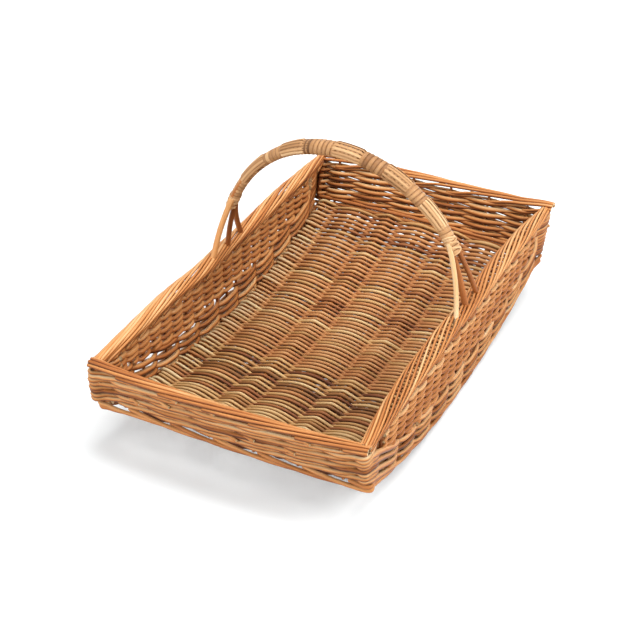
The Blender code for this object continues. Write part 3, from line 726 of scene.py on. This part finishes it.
def wale_strand(course, phase, turn, rods):
    """One of three strands: before two stakes, behind the third, then round the corner."""
    middle = level_z(2 * course + 0.5, turn)
    size = WALE_ROD[turn] * rng.uniform(0.82, 1.08)
    states = [(index + phase + course) % 3 for index in range(END_STAKE_COUNT + 2)]
    face, first_level, last_level = wale_face(states, middle, turn, size)
    path = [face]
    bulge = CORNER_BULGE[turn] * (1.0 - 0.8 * course / COURSES[turn]) * rng.uniform(0.8, 1)
    if states[0] != INSIDE:
        path = corner_entry(first_level, POST_RADIUS + size + bulge) + path
    if states[-1] != INSIDE:
        ring = POST_RADIUS + size + rng.uniform(0, CORNER_PLAY)
        path += corner_exit(2 * course + states[-1], last_level, ring, turn)
    path = relax(np.concatenate(path), 3)
    in_band = fade(np.abs(path[:, 1]), 0.265, 0.015)
    sizes = taper(len(path), size * 1.05, size * 0.95, False) * fullness(path)
    sizes = sizes + (BAND_ROD[turn] - WALE_ROD[turn]) * in_band
    tone = pick(WALE_TONES, WALE_ODDS) - WALE_DIMMING[turn] * (in_band if turn > 0 else 1)
    rods.add(path, sizes, tone, shade=WALE_SHADE)


def siding_rows(turn):
    """Rows of the side panel above the band: height and first and last stop."""
    stakes = side_stops(turn)
    rows = []
    z = SIDE_WALL_TOP + max(CROWN_HEIGHTS[turn]) - SIDING_ROD
    while z > band_top(0, turn) + SIDING_ROD:
        inside = [index for index, y in enumerate(stakes)
                  if band_top(y, turn) - 0.005 < z < SIDE_WALL_TOP + crown(y, turn) + 0.005]
        if len(inside) > 4:
            rows.append((z, inside[0], inside[-1]))
        z -= SIDING_PITCH
    rows = rows[::-1]
    for index in range(1, len(rows)):
        z, first, last = rows[index]
        _, first_below, last_below = rows[index - 1]
        rows[index] = (z, first, last_below) if index % 2 else (z, first_below, last)
    return rows


def siding_rod(path, turn, rods):
    whole = relax(np.concatenate(path), 1)
    size = SIDING_ROD * rng.uniform(0.9, 1.12)
    tone = pick(SIDING_TONES, SIDING_ODDS)
    sizes = taper(len(whole), size * 1.08, size * 0.94, rng.random() < 0.5)
    sizes = sizes * (1 + SIDING_FULLNESS[turn] * (fullness(whole) - 1))
    rods.add(whole, sizes, tone - SIDING_DIMMING * turn)


def make_siding(turn, rods):
    """Rods woven to and fro, each round the stake at the end of its rows."""
    stakes = side_stops(turn)
    rows = siding_rows(turn)
    lift = STAKE_RADIUS + SIDING_ROD - 0.0007
    path = []
    woven = 0
    heading = 1
    for index, (z, first, last) in enumerate(rows):
        signs = np.array([(-1) ** (stake + index) for stake in range(len(stakes))])
        begin, end = (first, last) if heading > 0 else (last, first)
        ys = np.arange(stakes[begin], stakes[end], FINE_STEP * heading)
        heights = z + wander(ys * heading, LARGE_DRIFT)
        path.append(side_place(ys, heights, weave(ys, stakes, signs * lift)))
        woven += abs(stakes[end] - stakes[begin])
        if woven > rng.uniform(*SIDING_LENGTH_RANGE) or index + 1 == len(rows):
            siding_rod(path, turn, rods)
            path = []
            woven = 0
        else:
            next_z = rows[index + 1][0]
            around = np.linspace(0.12, 0.88, 6) * np.pi
            ys = stakes[end] + heading * lift * np.sin(around)
            depth = signs[end] * lift * np.cos(around)
            path.append(side_place(ys, z + (next_z - z) * around / np.pi, depth))
        heading = -heading


def add_cut_ends(rods):
    for x, z in CUT_ENDS:
        share = np.linspace(0, 1, 6)
        path = end_place(x - 0.012 * (1 - share), z - 0.001 * share, 0.0030 + 0.0036 * share)
        rods.add(path, CUT_END_ROD, CUT_END_TONE)


def make_walls():
    for turn, (end, side) in WALLS.items():
        wales, siding, stakes, uprights, posts = (Rods(turn) for _ in range(5))
        for course in range(COURSES[turn]):
            for phase in range(3):
                wale_strand(course, phase, turn, wales)
        add_cut_ends(wales)
        make_siding(turn, siding)
        for share in END_STAKE_SHARES:
            z = np.linspace(END_RISE + 0.008, END_WALL_TOP + 0.003, 16)
            stakes.add(end_place(share * side_x(z), z, 0 * z), STAKE_RADIUS, STAKE_TONE, (1, 0, 0))
        for y in side_stops(turn):
            z = np.linspace(base_z(y) + 0.0075, SIDE_WALL_TOP + crown(y, turn) + 0.003, 20)
            uprights.add(side_place(0 * z + y, z, 0 * z), STAKE_RADIUS, STAKE_TONE, (0, 1, 0))
        for hand in (-1, 1):
            z = np.linspace(END_RISE + 0.008, RIM_Z - 0.006, 16)
            post_x, post_y = post_place(z)
            posts.add(np.stack([hand * post_x, post_y, z], -1), POST_RADIUS, POST_TONE, (1, 0, 0))
        stake_names = [end + "_stake_" + str(i + 1) for i in range(END_STAKE_COUNT)]
        post_names = ["corner_post_" + end + "_left", "corner_post_" + end + "_right"]
        wales.build(end + "_waling", [HONEY, CUT], "waling_willow", [end + "_wale", side + "_upsett"])
        siding.build(side + "_randing", [HONEY, CUT], "side_willow", [side + "_siding"])
        stakes.build(end + "_stakes", [HONEY, CUT], "stick_willow", stake_names)
        uprights.build(side + "_stakes", [HONEY, CUT], "border_willow", [side + "_border"])
        posts.build(end + "_corner_posts", [HONEY, CUT], "stick_willow", post_names)


# Borders

END_PITCH = 0.0508
END_RIM_LENGTH = 5.0 * END_PITCH
END_RIM_REACH = 0.158
END_RIM_FAR = {1: 0.158, -1: 0.160}
END_RIM_ROD = 0.00205
END_RIM_HALF_WIDTH = 0.0075
END_RIM_HALF_HEIGHT = 0.0066
END_RIM_LIFT = {1: 0.001, -1: 0.004}
END_RIM_TONES = (0.38, 0.66)

SIDE_RIM_LENGTH = 9.0 * SIDE_STAKE_PITCH
SIDE_RIM_REACH = 0.270
SIDE_RIM_ROD = {1: 0.0015, -1: 0.0019}
SIDE_RIM_HALF_WIDTH = {1: 0.0120, -1: 0.0104}
SIDE_RIM_HALF_HEIGHT = 0.0075
SIDE_RIM_SHARES = [0.62, 0.92, 1.0, 0.98, 0.90, 0.98, 1.0, 0.92, 0.62]
SIDE_RIM_SPOTS = np.linspace(-0.2617, 0.2617, 9)
SIDE_RIM_TONES = (0.37, 0.68)
FIRST_SIDE_Y = -0.2526


def rope(share, half_width, half_height, size, first, last):
    """Where a strand lies as it is led over a border, from the inner edge to the outer."""
    angle = np.radians(first + (last - first) * share)
    return (half_width - size) * np.cos(angle), (half_height - size) * np.sin(angle)


def end_border(rods):
    for index in range(-3, 11):
        start = (index - 2.5) * END_PITCH + 0.004
        xs = np.arange(min(start, END_RIM_REACH),
                       max(start - END_RIM_LENGTH, -END_RIM_FAR[rods.turn]), -BORDER_STEP)
        if len(xs) < 8:
            continue
        share = (start - xs) / END_RIM_LENGTH
        size = END_RIM_ROD * rng.uniform(0.88, 1.12)
        lateral, height = rope(share, END_RIM_HALF_WIDTH, END_RIM_HALF_HEIGHT, size, 210, -12)
        lateral = lateral - 0.0022 * fade(share, 0.25, 0.2) + wander(-xs, SMALL_DRIFT)
        z = RIM_Z - 0.006 + height - 0.005 * fade(share, 0.16, 0.16)
        z = z + END_RIM_LIFT[rods.turn] * grow(-xs, 0.115, 0.045)
        path = np.stack([xs, -(end_y(xs, RIM_Z - 0.004) - 0.0065 + lateral), z], -1)
        rods.add(relax(path, 2), size, rng.uniform(*END_RIM_TONES), shade=0.40)


def side_border(rods):
    turn = rods.turn
    for start in np.arange(FIRST_SIDE_Y + 0.004, 0.46, SIDE_STAKE_PITCH):
        ys = np.arange(min(start, SIDE_RIM_REACH),
                       max(start - SIDE_RIM_LENGTH, -SIDE_RIM_REACH), -BORDER_STEP)
        if len(ys) < 8:
            continue
        share = (start - ys) / SIDE_RIM_LENGTH
        size = SIDE_RIM_ROD[turn] * rng.uniform(0.82, 1.18)
        half_width = SIDE_RIM_HALF_WIDTH[turn] * np.interp(ys, SIDE_RIM_SPOTS, SIDE_RIM_SHARES)
        lateral, height = rope(share, half_width, SIDE_RIM_HALF_HEIGHT, size, 225, -12)
        lateral = lateral + wander(-ys, DRIFT)
        z = RIM_Z - SIDE_RIM_HALF_HEIGHT + height + crown(ys, turn) - 0.006 * fade(share, 0.08, 0.08)
        path = np.stack([RIM_HALF_WIDTH + 0.001 - half_width + lateral, ys, z], -1)
        tone = rng.uniform(*SIDE_RIM_TONES) + 0.01 * turn
        rods.add(relax(path, 2), size, tone, shade=0.44)


def make_strands(lay, turn, name, nodes):
    rods = Rods(turn)
    lay(rods)
    rods.build(name, [HONEY, CUT], "border_willow", nodes)


def make_borders():
    for turn, (end, side) in WALLS.items():
        make_strands(end_border, turn, end + "_border_rods", [end + "_border"])
        make_strands(side_border, turn, side + "_border_rods", [])


# Feet: strands that leave the wall, slant down over open slots and run on along the foot

FOOT_ROD = 0.0022
FOOT_END_X = 0.152
FOOT_END_Y = 0.250
FOOT_REACH_PITCHES = 2.15
FOOT_CORNER_X = 0.1510
FOOT_CORNER_RING = 0.0062
FOOT_ENTRY_RING = {1: 0.0095, -1: 0.0062}

END_FOOT_RUNS = [0, 0.020, 0.050, 0.076, 2.2 * END_PITCH]
END_FOOT_HEIGHTS = [0.0502, 0.0484, 0.0437, 0.0424, 0.0418]
END_DEPTH_RUNS = [0, 0.008, 0.022, 0.060, 2.0 * END_PITCH, 2.2 * END_PITCH]
END_DEPTHS = [0.0010, 0.0026, 0.0040, 0.0035, 0.0015, -0.001]

SIDE_FOOT_PITCH = 0.047
SIDE_FOOT_RUNS = [0, 0.004, 0.028, 0.050, 2.2 * SIDE_FOOT_PITCH]
SIDE_FOOT_HEIGHTS = [0.0105, 0.0095, 0.0058, 0.0033, 0.0024]
SIDE_DEPTH_RUNS = [0, 0.008, 0.020, 0.060, 2.0 * SIDE_FOOT_PITCH, 2.2 * SIDE_FOOT_PITCH]
SIDE_DEPTHS = [-0.001, 0.001, 0.0030, 0.0025, 0.0002, -0.002]

# Straight rods inside the foot that close the floor's edge: height, and how far out
SEAMS = {1: [(0.0558, -0.0050)], -1: [(0.0490, -0.0040), (0.0545, -0.0048)]}
END_SEAM_ROD = 0.0025
SIDE_SEAM_ROD = 0.0024
SIDE_SEAM_Z = 0.0055
SIDE_SEAM_DEPTH = -0.0035


def foot_exit(corner):
    """Where a foot strand goes round the right corner and on along the curved base."""
    _, y, z = corner
    arc = corner_arc(FOOT_CORNER_X, y + FOOT_CORNER_RING, z, FOOT_CORNER_RING, -70, -10, 5)
    ys = np.arange(y + 0.009, y + 0.075, BORDER_STEP)
    low = base_z(ys) + z - base_z(ys[0]) - 0.0005
    return [arc, side_place(ys, low, 0.0034 - 0.006 * grow(ys - ys[0], 0.045, 0.02))]


def foot_entry(corner, ring):
    """Where a foot strand comes out of the left wall and round the left corner."""
    _, y, z = corner
    arc = corner_arc(-FOOT_CORNER_X, y + FOOT_CORNER_RING, z, ring, -170, -110, 5)
    ys = np.linspace(y + 0.040, y + 0.009, 10)
    low = base_z(ys) + z - base_z(y)
    tuck = side_place(ys, low, 0.0030 - 0.0075 * grow(ys - y, 0.012, 0.02))
    tuck[:, 0] *= -1
    return [tuck, arc]


def end_foot(rods):
    reach = FOOT_REACH_PITCHES * END_PITCH
    for index in range(-2, 7):
        start = (index - 2.5) * END_PITCH + 0.006
        xs = np.arange(max(start, -FOOT_END_X), min(start + reach, FOOT_END_X), STEP)
        if len(xs) < 6:
            continue
        z = through(xs - start, END_FOOT_RUNS, END_FOOT_HEIGHTS)
        depth = swing(xs - start, END_DEPTH_RUNS, END_DEPTHS)
        if rods.turn > 0:
            z = z - 0.0045 * grow(-xs, 0.105, 0.04)
        path = [end_place(xs, z, depth)]
        if start + reach > FOOT_END_X:
            path += foot_exit(end_place(FOOT_END_X, z[-1], depth[-1]))
        if start < -FOOT_END_X:
            path = foot_entry(path[0][0], FOOT_ENTRY_RING[rods.turn]) + path
        rods.add(relax(np.concatenate(path), 2), FOOT_ROD, rng.uniform(0.45, 0.65))
    for z, depth in SEAMS[rods.turn]:
        xs = np.arange(-0.146, 0.1461, SEAM_STEP)
        seam = end_place(xs, z + wander(xs, DRIFT), depth)
        rods.add(seam, END_SEAM_ROD, 0.42)


def side_foot(rods):
    reach = FOOT_REACH_PITCHES * SIDE_FOOT_PITCH
    for index in range(-2, 11):
        start = FIRST_SIDE_Y + (index - 0.2) * SIDE_FOOT_PITCH
        ys = np.arange(max(start, -FOOT_END_Y), min(start + reach, FOOT_END_Y + 0.002), STEP)
        if len(ys) < 6:
            continue
        z = base_z(ys) + swing(ys - start, SIDE_FOOT_RUNS, SIDE_FOOT_HEIGHTS)
        depth = swing(ys - start, SIDE_DEPTH_RUNS, SIDE_DEPTHS)
        rods.add(relax(side_place(ys, z, depth), 2), FOOT_ROD, rng.uniform(0.42, 0.62))
    ys = np.arange(-FOOT_END_Y, FOOT_END_Y + 0.0001, SEAM_STEP)
    rods.add(side_place(ys, base_z(ys) + SIDE_SEAM_Z, SIDE_SEAM_DEPTH), SIDE_SEAM_ROD, 0.36)


def make_feet():
    for turn, (end, side) in WALLS.items():
        make_strands(end_foot, turn, end + "_foot", [end + "_foot_rod"])
        make_strands(side_foot, turn, side + "_foot", [side + "_foot_rod"])


# Handle

HOOP_RISE = 0.1545
HOOP_HALF_SPAN = 0.150
HOOP_FULLNESS = 1.05
HOOP_LEAN = 0.012
TIE_Z = {-1: 0.161, 1: 0.178}
BUNDLE_SHARES = [0, 0.15, 0.30, 0.42, 0.70, 0.85, 1]
BUNDLE_THICKNESS = [0.0045, 0.0048, 0.0059, 0.0073, 0.0073, 0.0063, 0.0052]
BUNDLE_FLATNESS = 1.26
# Rods inside the wrapping: how far to the side, and how far out
CORE_RODS = [(-0.0045, 0.001), (0, -0.002), (0.0045, 0.001)]
CORE_ROD = 0.0027

# Legs: the front, middle and back one on each hand
LEG_NAMES = ["handle_front_rod", "handle_bow", "handle_back_rod"]
LEG_TONES = {1: [0.93, 0.36, 0.33], -1: [0.66, 0.30, 0.27]}
LEG_RADII = {1: [0.0029, 0.0039, 0.0029], -1: [0.0036, 0.0032, 0.0033]}
LEG_NECK_RADIUS = 0.0028
LEG_FOOT_X = {1: 0.151, -1: 0.146}
LEG_SPREAD = 0.03525
LEG_TOP_PITCH = 0.0064
LEG_BOW = 0.0035
LEG_START = 0.012
LEG_TIP_Z = 0.060

# Wrapping, and the stretches of it that flat strips are laid over, as shares from tie to tie
LISTING_ZONES = [(0.121, 0.234), (0.316, 0.386), (0.501, 0.582), (0.674, 0.752), (0.823, 0.910)]
LISTING_ANGLES = [-105, -78, -50, -24, 2, 30, 60]
LISTING_OVERRUN = 0.012
LISTING_POINTS = 26
DARK_TURN = (0.388, 0.414)
DARK_TURN_TONE = 0.18
WRAP_PITCH = 0.0050
WRAP_HALF_WIDTH = 0.00240
WRAP_FLATNESS = 0.24
WRAP_LIFT = 0.0006
LOOP_POINTS = 22
TIE_TURNS = 6
TIE_PITCH = 0.0030
TIE_SLANT = 0.0040


def hoop_axis(count):
    """Evenly spaced points along the handle's axis, and how far along each lies."""
    angle = np.linspace(0, np.pi, 2001)
    share = np.maximum(np.sin(angle), 0) ** HOOP_FULLNESS
    x = -HOOP_HALF_SPAN * np.cos(angle) - HOOP_LEAN * share ** 2
    line = np.stack([x, np.zeros(len(x)), RIM_Z + HOOP_RISE * share], -1)
    length = np.concatenate([[0], np.cumsum(np.linalg.norm(np.diff(line, axis=0), axis=1))])
    places = np.linspace(0, length[-1], count)
    return np.stack([np.interp(places, length, line[:, i]) for i in range(3)], -1), places


class Hoop:
    """The handle's axis from tie to tie, with its outward direction and its thickness."""

    def __init__(self):
        self.line, self.places = hoop_axis(800)
        along = np.gradient(self.line, axis=0)
        along = along / np.linalg.norm(along, axis=1)[:, None]
        self.outward = np.stack([-along[:, 2], np.zeros(len(along)), along[:, 0]], -1)
        middle = np.argmax(self.line[:, 2])
        self.start = self.places[np.argmax(self.line[:, 2] > TIE_Z[-1])]
        self.stop = self.places[middle + np.argmax(self.line[middle:, 2] < TIE_Z[1])]
        self.length = self.stop - self.start

    def read(self, values, spots):
        return np.stack([np.interp(spots, self.places, values[:, i]) for i in range(3)], -1)

    def ring(self, spots, angle, lift=0.0):
        """Points round the bundle: angle 0 faces outward, a quarter turn faces the back."""
        share = (spots - self.start) / self.length
        thick = np.interp(share, BUNDLE_SHARES, BUNDLE_THICKNESS)
        across = np.broadcast_to(np.array([0.0, 1.0, 0.0]), (len(spots), 3))
        radial = (self.read(self.outward, spots) * (np.cos(angle) * (thick + lift))[:, None]
                  + across * (np.sin(angle) * (thick * BUNDLE_FLATNESS + lift))[:, None])
        return self.read(self.line, spots) + radial, radial


def leg_path(hoop, hand, index):
    """A leg from inside the tie down to the border, and on into the side wall."""
    place = hoop.start + LEG_START if hand < 0 else hoop.stop - LEG_START
    top, out = (hoop.read(values, np.array([place]))[0] for values in (hoop.line, hoop.outward))
    inward = 0.0028 if index == 1 else -0.0004
    start = top + np.array([0, (index - 1) * LEG_TOP_PITCH, 0]) - out * inward
    foot = np.array([hand * LEG_FOOT_X[hand], (index - 1) * LEG_SPREAD, RIM_Z - 0.004])
    share = np.linspace(0, 1, 22)[:, None]
    bend = np.array([hand * LEG_BOW, 0, 0]) * np.sin(np.pi * share) * (1 if index != 1 else 0.6)
    path = start + (foot - start) * share ** np.array([1.0, 1.25, 1.0]) + bend
    z = np.linspace(RIM_Z - 0.008, LEG_TIP_Z, 14)
    under = np.stack([hand * (side_x(z) - 0.005), np.full(14, foot[1]), z], -1)
    sizes = np.concatenate([np.full(22, LEG_RADII[hand][index]), np.linspace(1, 0.6, 14) * LEG_NECK_RADIUS])
    return relax(np.concatenate([path, under]), 3), sizes


def make_legs(hoop):
    rods = Rods()
    for hand in (-1, 1):
        for index in range(3):
            path, sizes = leg_path(hoop, hand, index)
            rods.add(path, sizes, LEG_TONES[hand][index], (0, 1, 0), shade=0)
    spots = np.linspace(hoop.start + 0.004, hoop.stop - 0.004, 90)
    for lateral, out in CORE_RODS:
        path = hoop.read(hoop.line, spots) + hoop.read(hoop.outward, spots) * out
        path[:, 1] += lateral
        rods.add(path, CORE_ROD, 0.4, (0, 1, 0), shade=0)
    rods.build("handle_rods", [HONEY, CUT], "handle_willow", LEG_NAMES)


def wrap_run(hoop, rods, first, last, tone):
    """Cane wound side by side along a stretch given as shares from tie to tie."""
    turns = (last - first) * hoop.length / WRAP_PITCH
    share = np.linspace(0, 1, max(int(turns * LOOP_POINTS), 12))
    spots = hoop.start + hoop.length * (first + (last - first) * share)
    path, radial = hoop.ring(spots, 2 * np.pi * turns * share + rng.uniform(0, 6), WRAP_LIFT)
    tone = tone + wander(spots, 0.08, 0.003)
    rods.add(path, WRAP_HALF_WIDTH, tone, radial, flat=WRAP_FLATNESS, shade=0.16)


def make_wrap(hoop):
    rods = Rods()
    stops = [0.0] + [stop for zone in LISTING_ZONES for stop in zone] + [1.0]
    for first, last in zip(stops, stops[1:]):
        wrap_run(hoop, rods, first, last, rng.uniform(0.44, 0.60))
    rods.build("handle_wrapping", [CANE, CUT], "wrapping_cane", ["handle_wrap"])
    rods = Rods()
    share = np.linspace(0, 1, LISTING_POINTS)
    lift = 0.0014 - 0.0016 * fade(share, 0.12, 0.10) - 0.0016 * grow(share, 0.88, 0.10)
    for first, last in LISTING_ZONES:
        spots = hoop.start + hoop.length * np.linspace(first - LISTING_OVERRUN, last + LISTING_OVERRUN,
                                                       LISTING_POINTS)
        for angle in np.radians(LISTING_ANGLES):
            bearing = np.full(LISTING_POINTS, angle + rng.uniform(-0.05, 0.05))
            path, radial = hoop.ring(spots, bearing, lift)
            rods.add(path, 0.0017, rng.uniform(0.42, 0.78), radial, flat=0.4, shade=0.3)
    wrap_run(hoop, rods, DARK_TURN[0], DARK_TURN[1], DARK_TURN_TONE)
    names = ["handle_listing_front", "handle_listing_back"]
    rods.build("handle_listing", [CANE, CUT], "wrapping_cane", names)


def make_ties(hoop):
    for hand, label in ((-1, "left"), (1, "right")):
        rods = Rods()
        for turn in range(TIE_TURNS):
            place = hoop.start + TIE_PITCH * turn if hand < 0 else hoop.stop - TIE_PITCH * turn
            angle = np.linspace(0, 2 * np.pi, 30) + rng.uniform(0, 6)
            slant = TIE_SLANT * (1 if turn % 2 else -0.4)
            path, radial = hoop.ring(place + slant * np.sin(angle), angle, 0.0012)
            rods.add(path, 0.0013, rng.uniform(0.55, 0.8), radial, flat=0.7, shade=0.3)
        rods.build("handle_tie_" + label, [CANE, CUT], "wrapping_cane", ["wrap_tie_" + label])


def make_handle():
    hoop = Hoop()
    make_legs(hoop)
    make_wrap(hoop)
    make_ties(hoop)


# Stage, light and camera

FLOOR_SIZE = 6
# The stage's floor glows a little near the trug, and more far off, so that it stays white
GLOW_STOPS = (("From Min", 0.7), ("From Max", 2.0), ("To Min", 0.10), ("To Max", 0.7))
AMBIENT_STRENGTH = 0.35
# Name, place, diameter and watts
LAMPS = (("key", (0.20, 0.30, 2.35), 2.2, 52), ("fill", (-0.9, -2.8, 1.4), 1.6, 60),
         ("side", (2.1, 0.1, 1.7), 1.3, 43))

# Azimuth, elevation and roll in degrees
CAMERA_ANGLES = (24.0425, 32.8971, 2.606)
CAMERA_DISTANCE = 1.5482
CAMERA_TARGET = (0.0173, -0.0936, RIM_Z)
FOCAL_PX, PICTURE_PX = 1445.46, 640
SENSOR_MM = 36


def background_rays(tree):
    """1 for rays that show the background: straight to the camera, or by way of gloss or glass."""
    rays = tree.nodes.new("ShaderNodeLightPath")
    seen = math_node(tree, "MAXIMUM", rays.outputs["Is Camera Ray"], rays.outputs["Is Glossy Ray"])
    return math_node(tree, "MAXIMUM", seen, rays.outputs["Is Transmission Ray"])


def make_stage():
    bpy.ops.mesh.primitive_plane_add(size=FLOOR_SIZE, location=(0, 0, 0))
    floor = bpy.context.active_object
    floor.name = "studio_floor"
    material, tree, shader = shade_nodes("studio_white")
    shader.inputs["Base Color"].default_value = (0.90, 0.93, 0.94, 1)
    shader.inputs["Roughness"].default_value = 0.9
    shader.inputs["Specular IOR Level"].default_value = 0.0
    reach = tree.nodes.new("ShaderNodeVectorMath")
    reach.operation = "LENGTH"
    tree.links.new(tree.nodes.new("ShaderNodeNewGeometry").outputs["Position"], reach.inputs[0])
    spread = tree.nodes.new("ShaderNodeMapRange")
    spread.interpolation_type = "SMOOTHSTEP"
    tree.links.new(reach.outputs["Value"], spread.inputs["Value"])
    for socket, value in GLOW_STOPS:
        spread.inputs[socket].default_value = value
    glow = math_node(tree, "MULTIPLY", background_rays(tree), spread.outputs["Result"])
    shader.inputs["Emission Color"].default_value = (1, 1, 1, 1)
    tree.links.new(glow, shader.inputs["Emission Strength"])
    floor.data.materials.append(material)


def make_lights():
    world = bpy.data.worlds.new("studio")
    bpy.context.scene.world = world
    world.use_nodes = True
    tree = world.node_tree
    ambient = tree.nodes["Background"]
    ambient.inputs["Color"].default_value = (1.0, 0.99, 0.98, 1)
    ambient.inputs["Strength"].default_value = AMBIENT_STRENGTH
    white = tree.nodes.new("ShaderNodeBackground")
    white.inputs["Color"].default_value = (1, 1, 1, 1)
    white.inputs["Strength"].default_value = 1.0
    mix = tree.nodes.new("ShaderNodeMixShader")
    tree.links.new(background_rays(tree), mix.inputs[0])
    tree.links.new(ambient.outputs[0], mix.inputs[1])
    tree.links.new(white.outputs[0], mix.inputs[2])
    tree.links.new(mix.outputs[0], tree.nodes["World Output"].inputs["Surface"])
    for name, place, size, power in LAMPS:
        lamp = bpy.data.lights.new(name, "AREA")
        lamp.shape = "DISK"
        lamp.size = size
        lamp.energy = power
        lamp_object = link_object(name, lamp)
        lamp_object.location = place
        lamp_object.rotation_euler = (-Vector(place)).to_track_quat("-Z", "Y").to_euler()


def make_camera():
    azimuth, elevation, roll = (math.radians(angle) for angle in CAMERA_ANGLES)
    back = Vector((math.sin(azimuth) * math.cos(elevation), -math.cos(azimuth) * math.cos(elevation),
                   math.sin(elevation)))
    right = Vector((0, 0, 1)).cross(back).normalized()
    up = back.cross(right)
    tilted_right = right * math.cos(roll) + up * math.sin(roll)
    tilted_up = up * math.cos(roll) - right * math.sin(roll)
    camera = bpy.data.cameras.new("camera")
    camera.sensor_width = SENSOR_MM
    camera.lens = FOCAL_PX / PICTURE_PX * SENSOR_MM
    camera_object = link_object("camera", camera)
    turned = Matrix((tilted_right, tilted_up, back)).transposed().to_4x4()
    camera_object.matrix_world = Matrix.Translation(Vector(CAMERA_TARGET) + back * CAMERA_DISTANCE) @ turned
    bpy.context.scene.camera = camera_object


make_camera()
make_lights()
make_stage()
make_floor()
make_walls()
make_borders()
make_feet()
make_handle()
bpy.context.scene.view_settings.view_transform = "Standard"
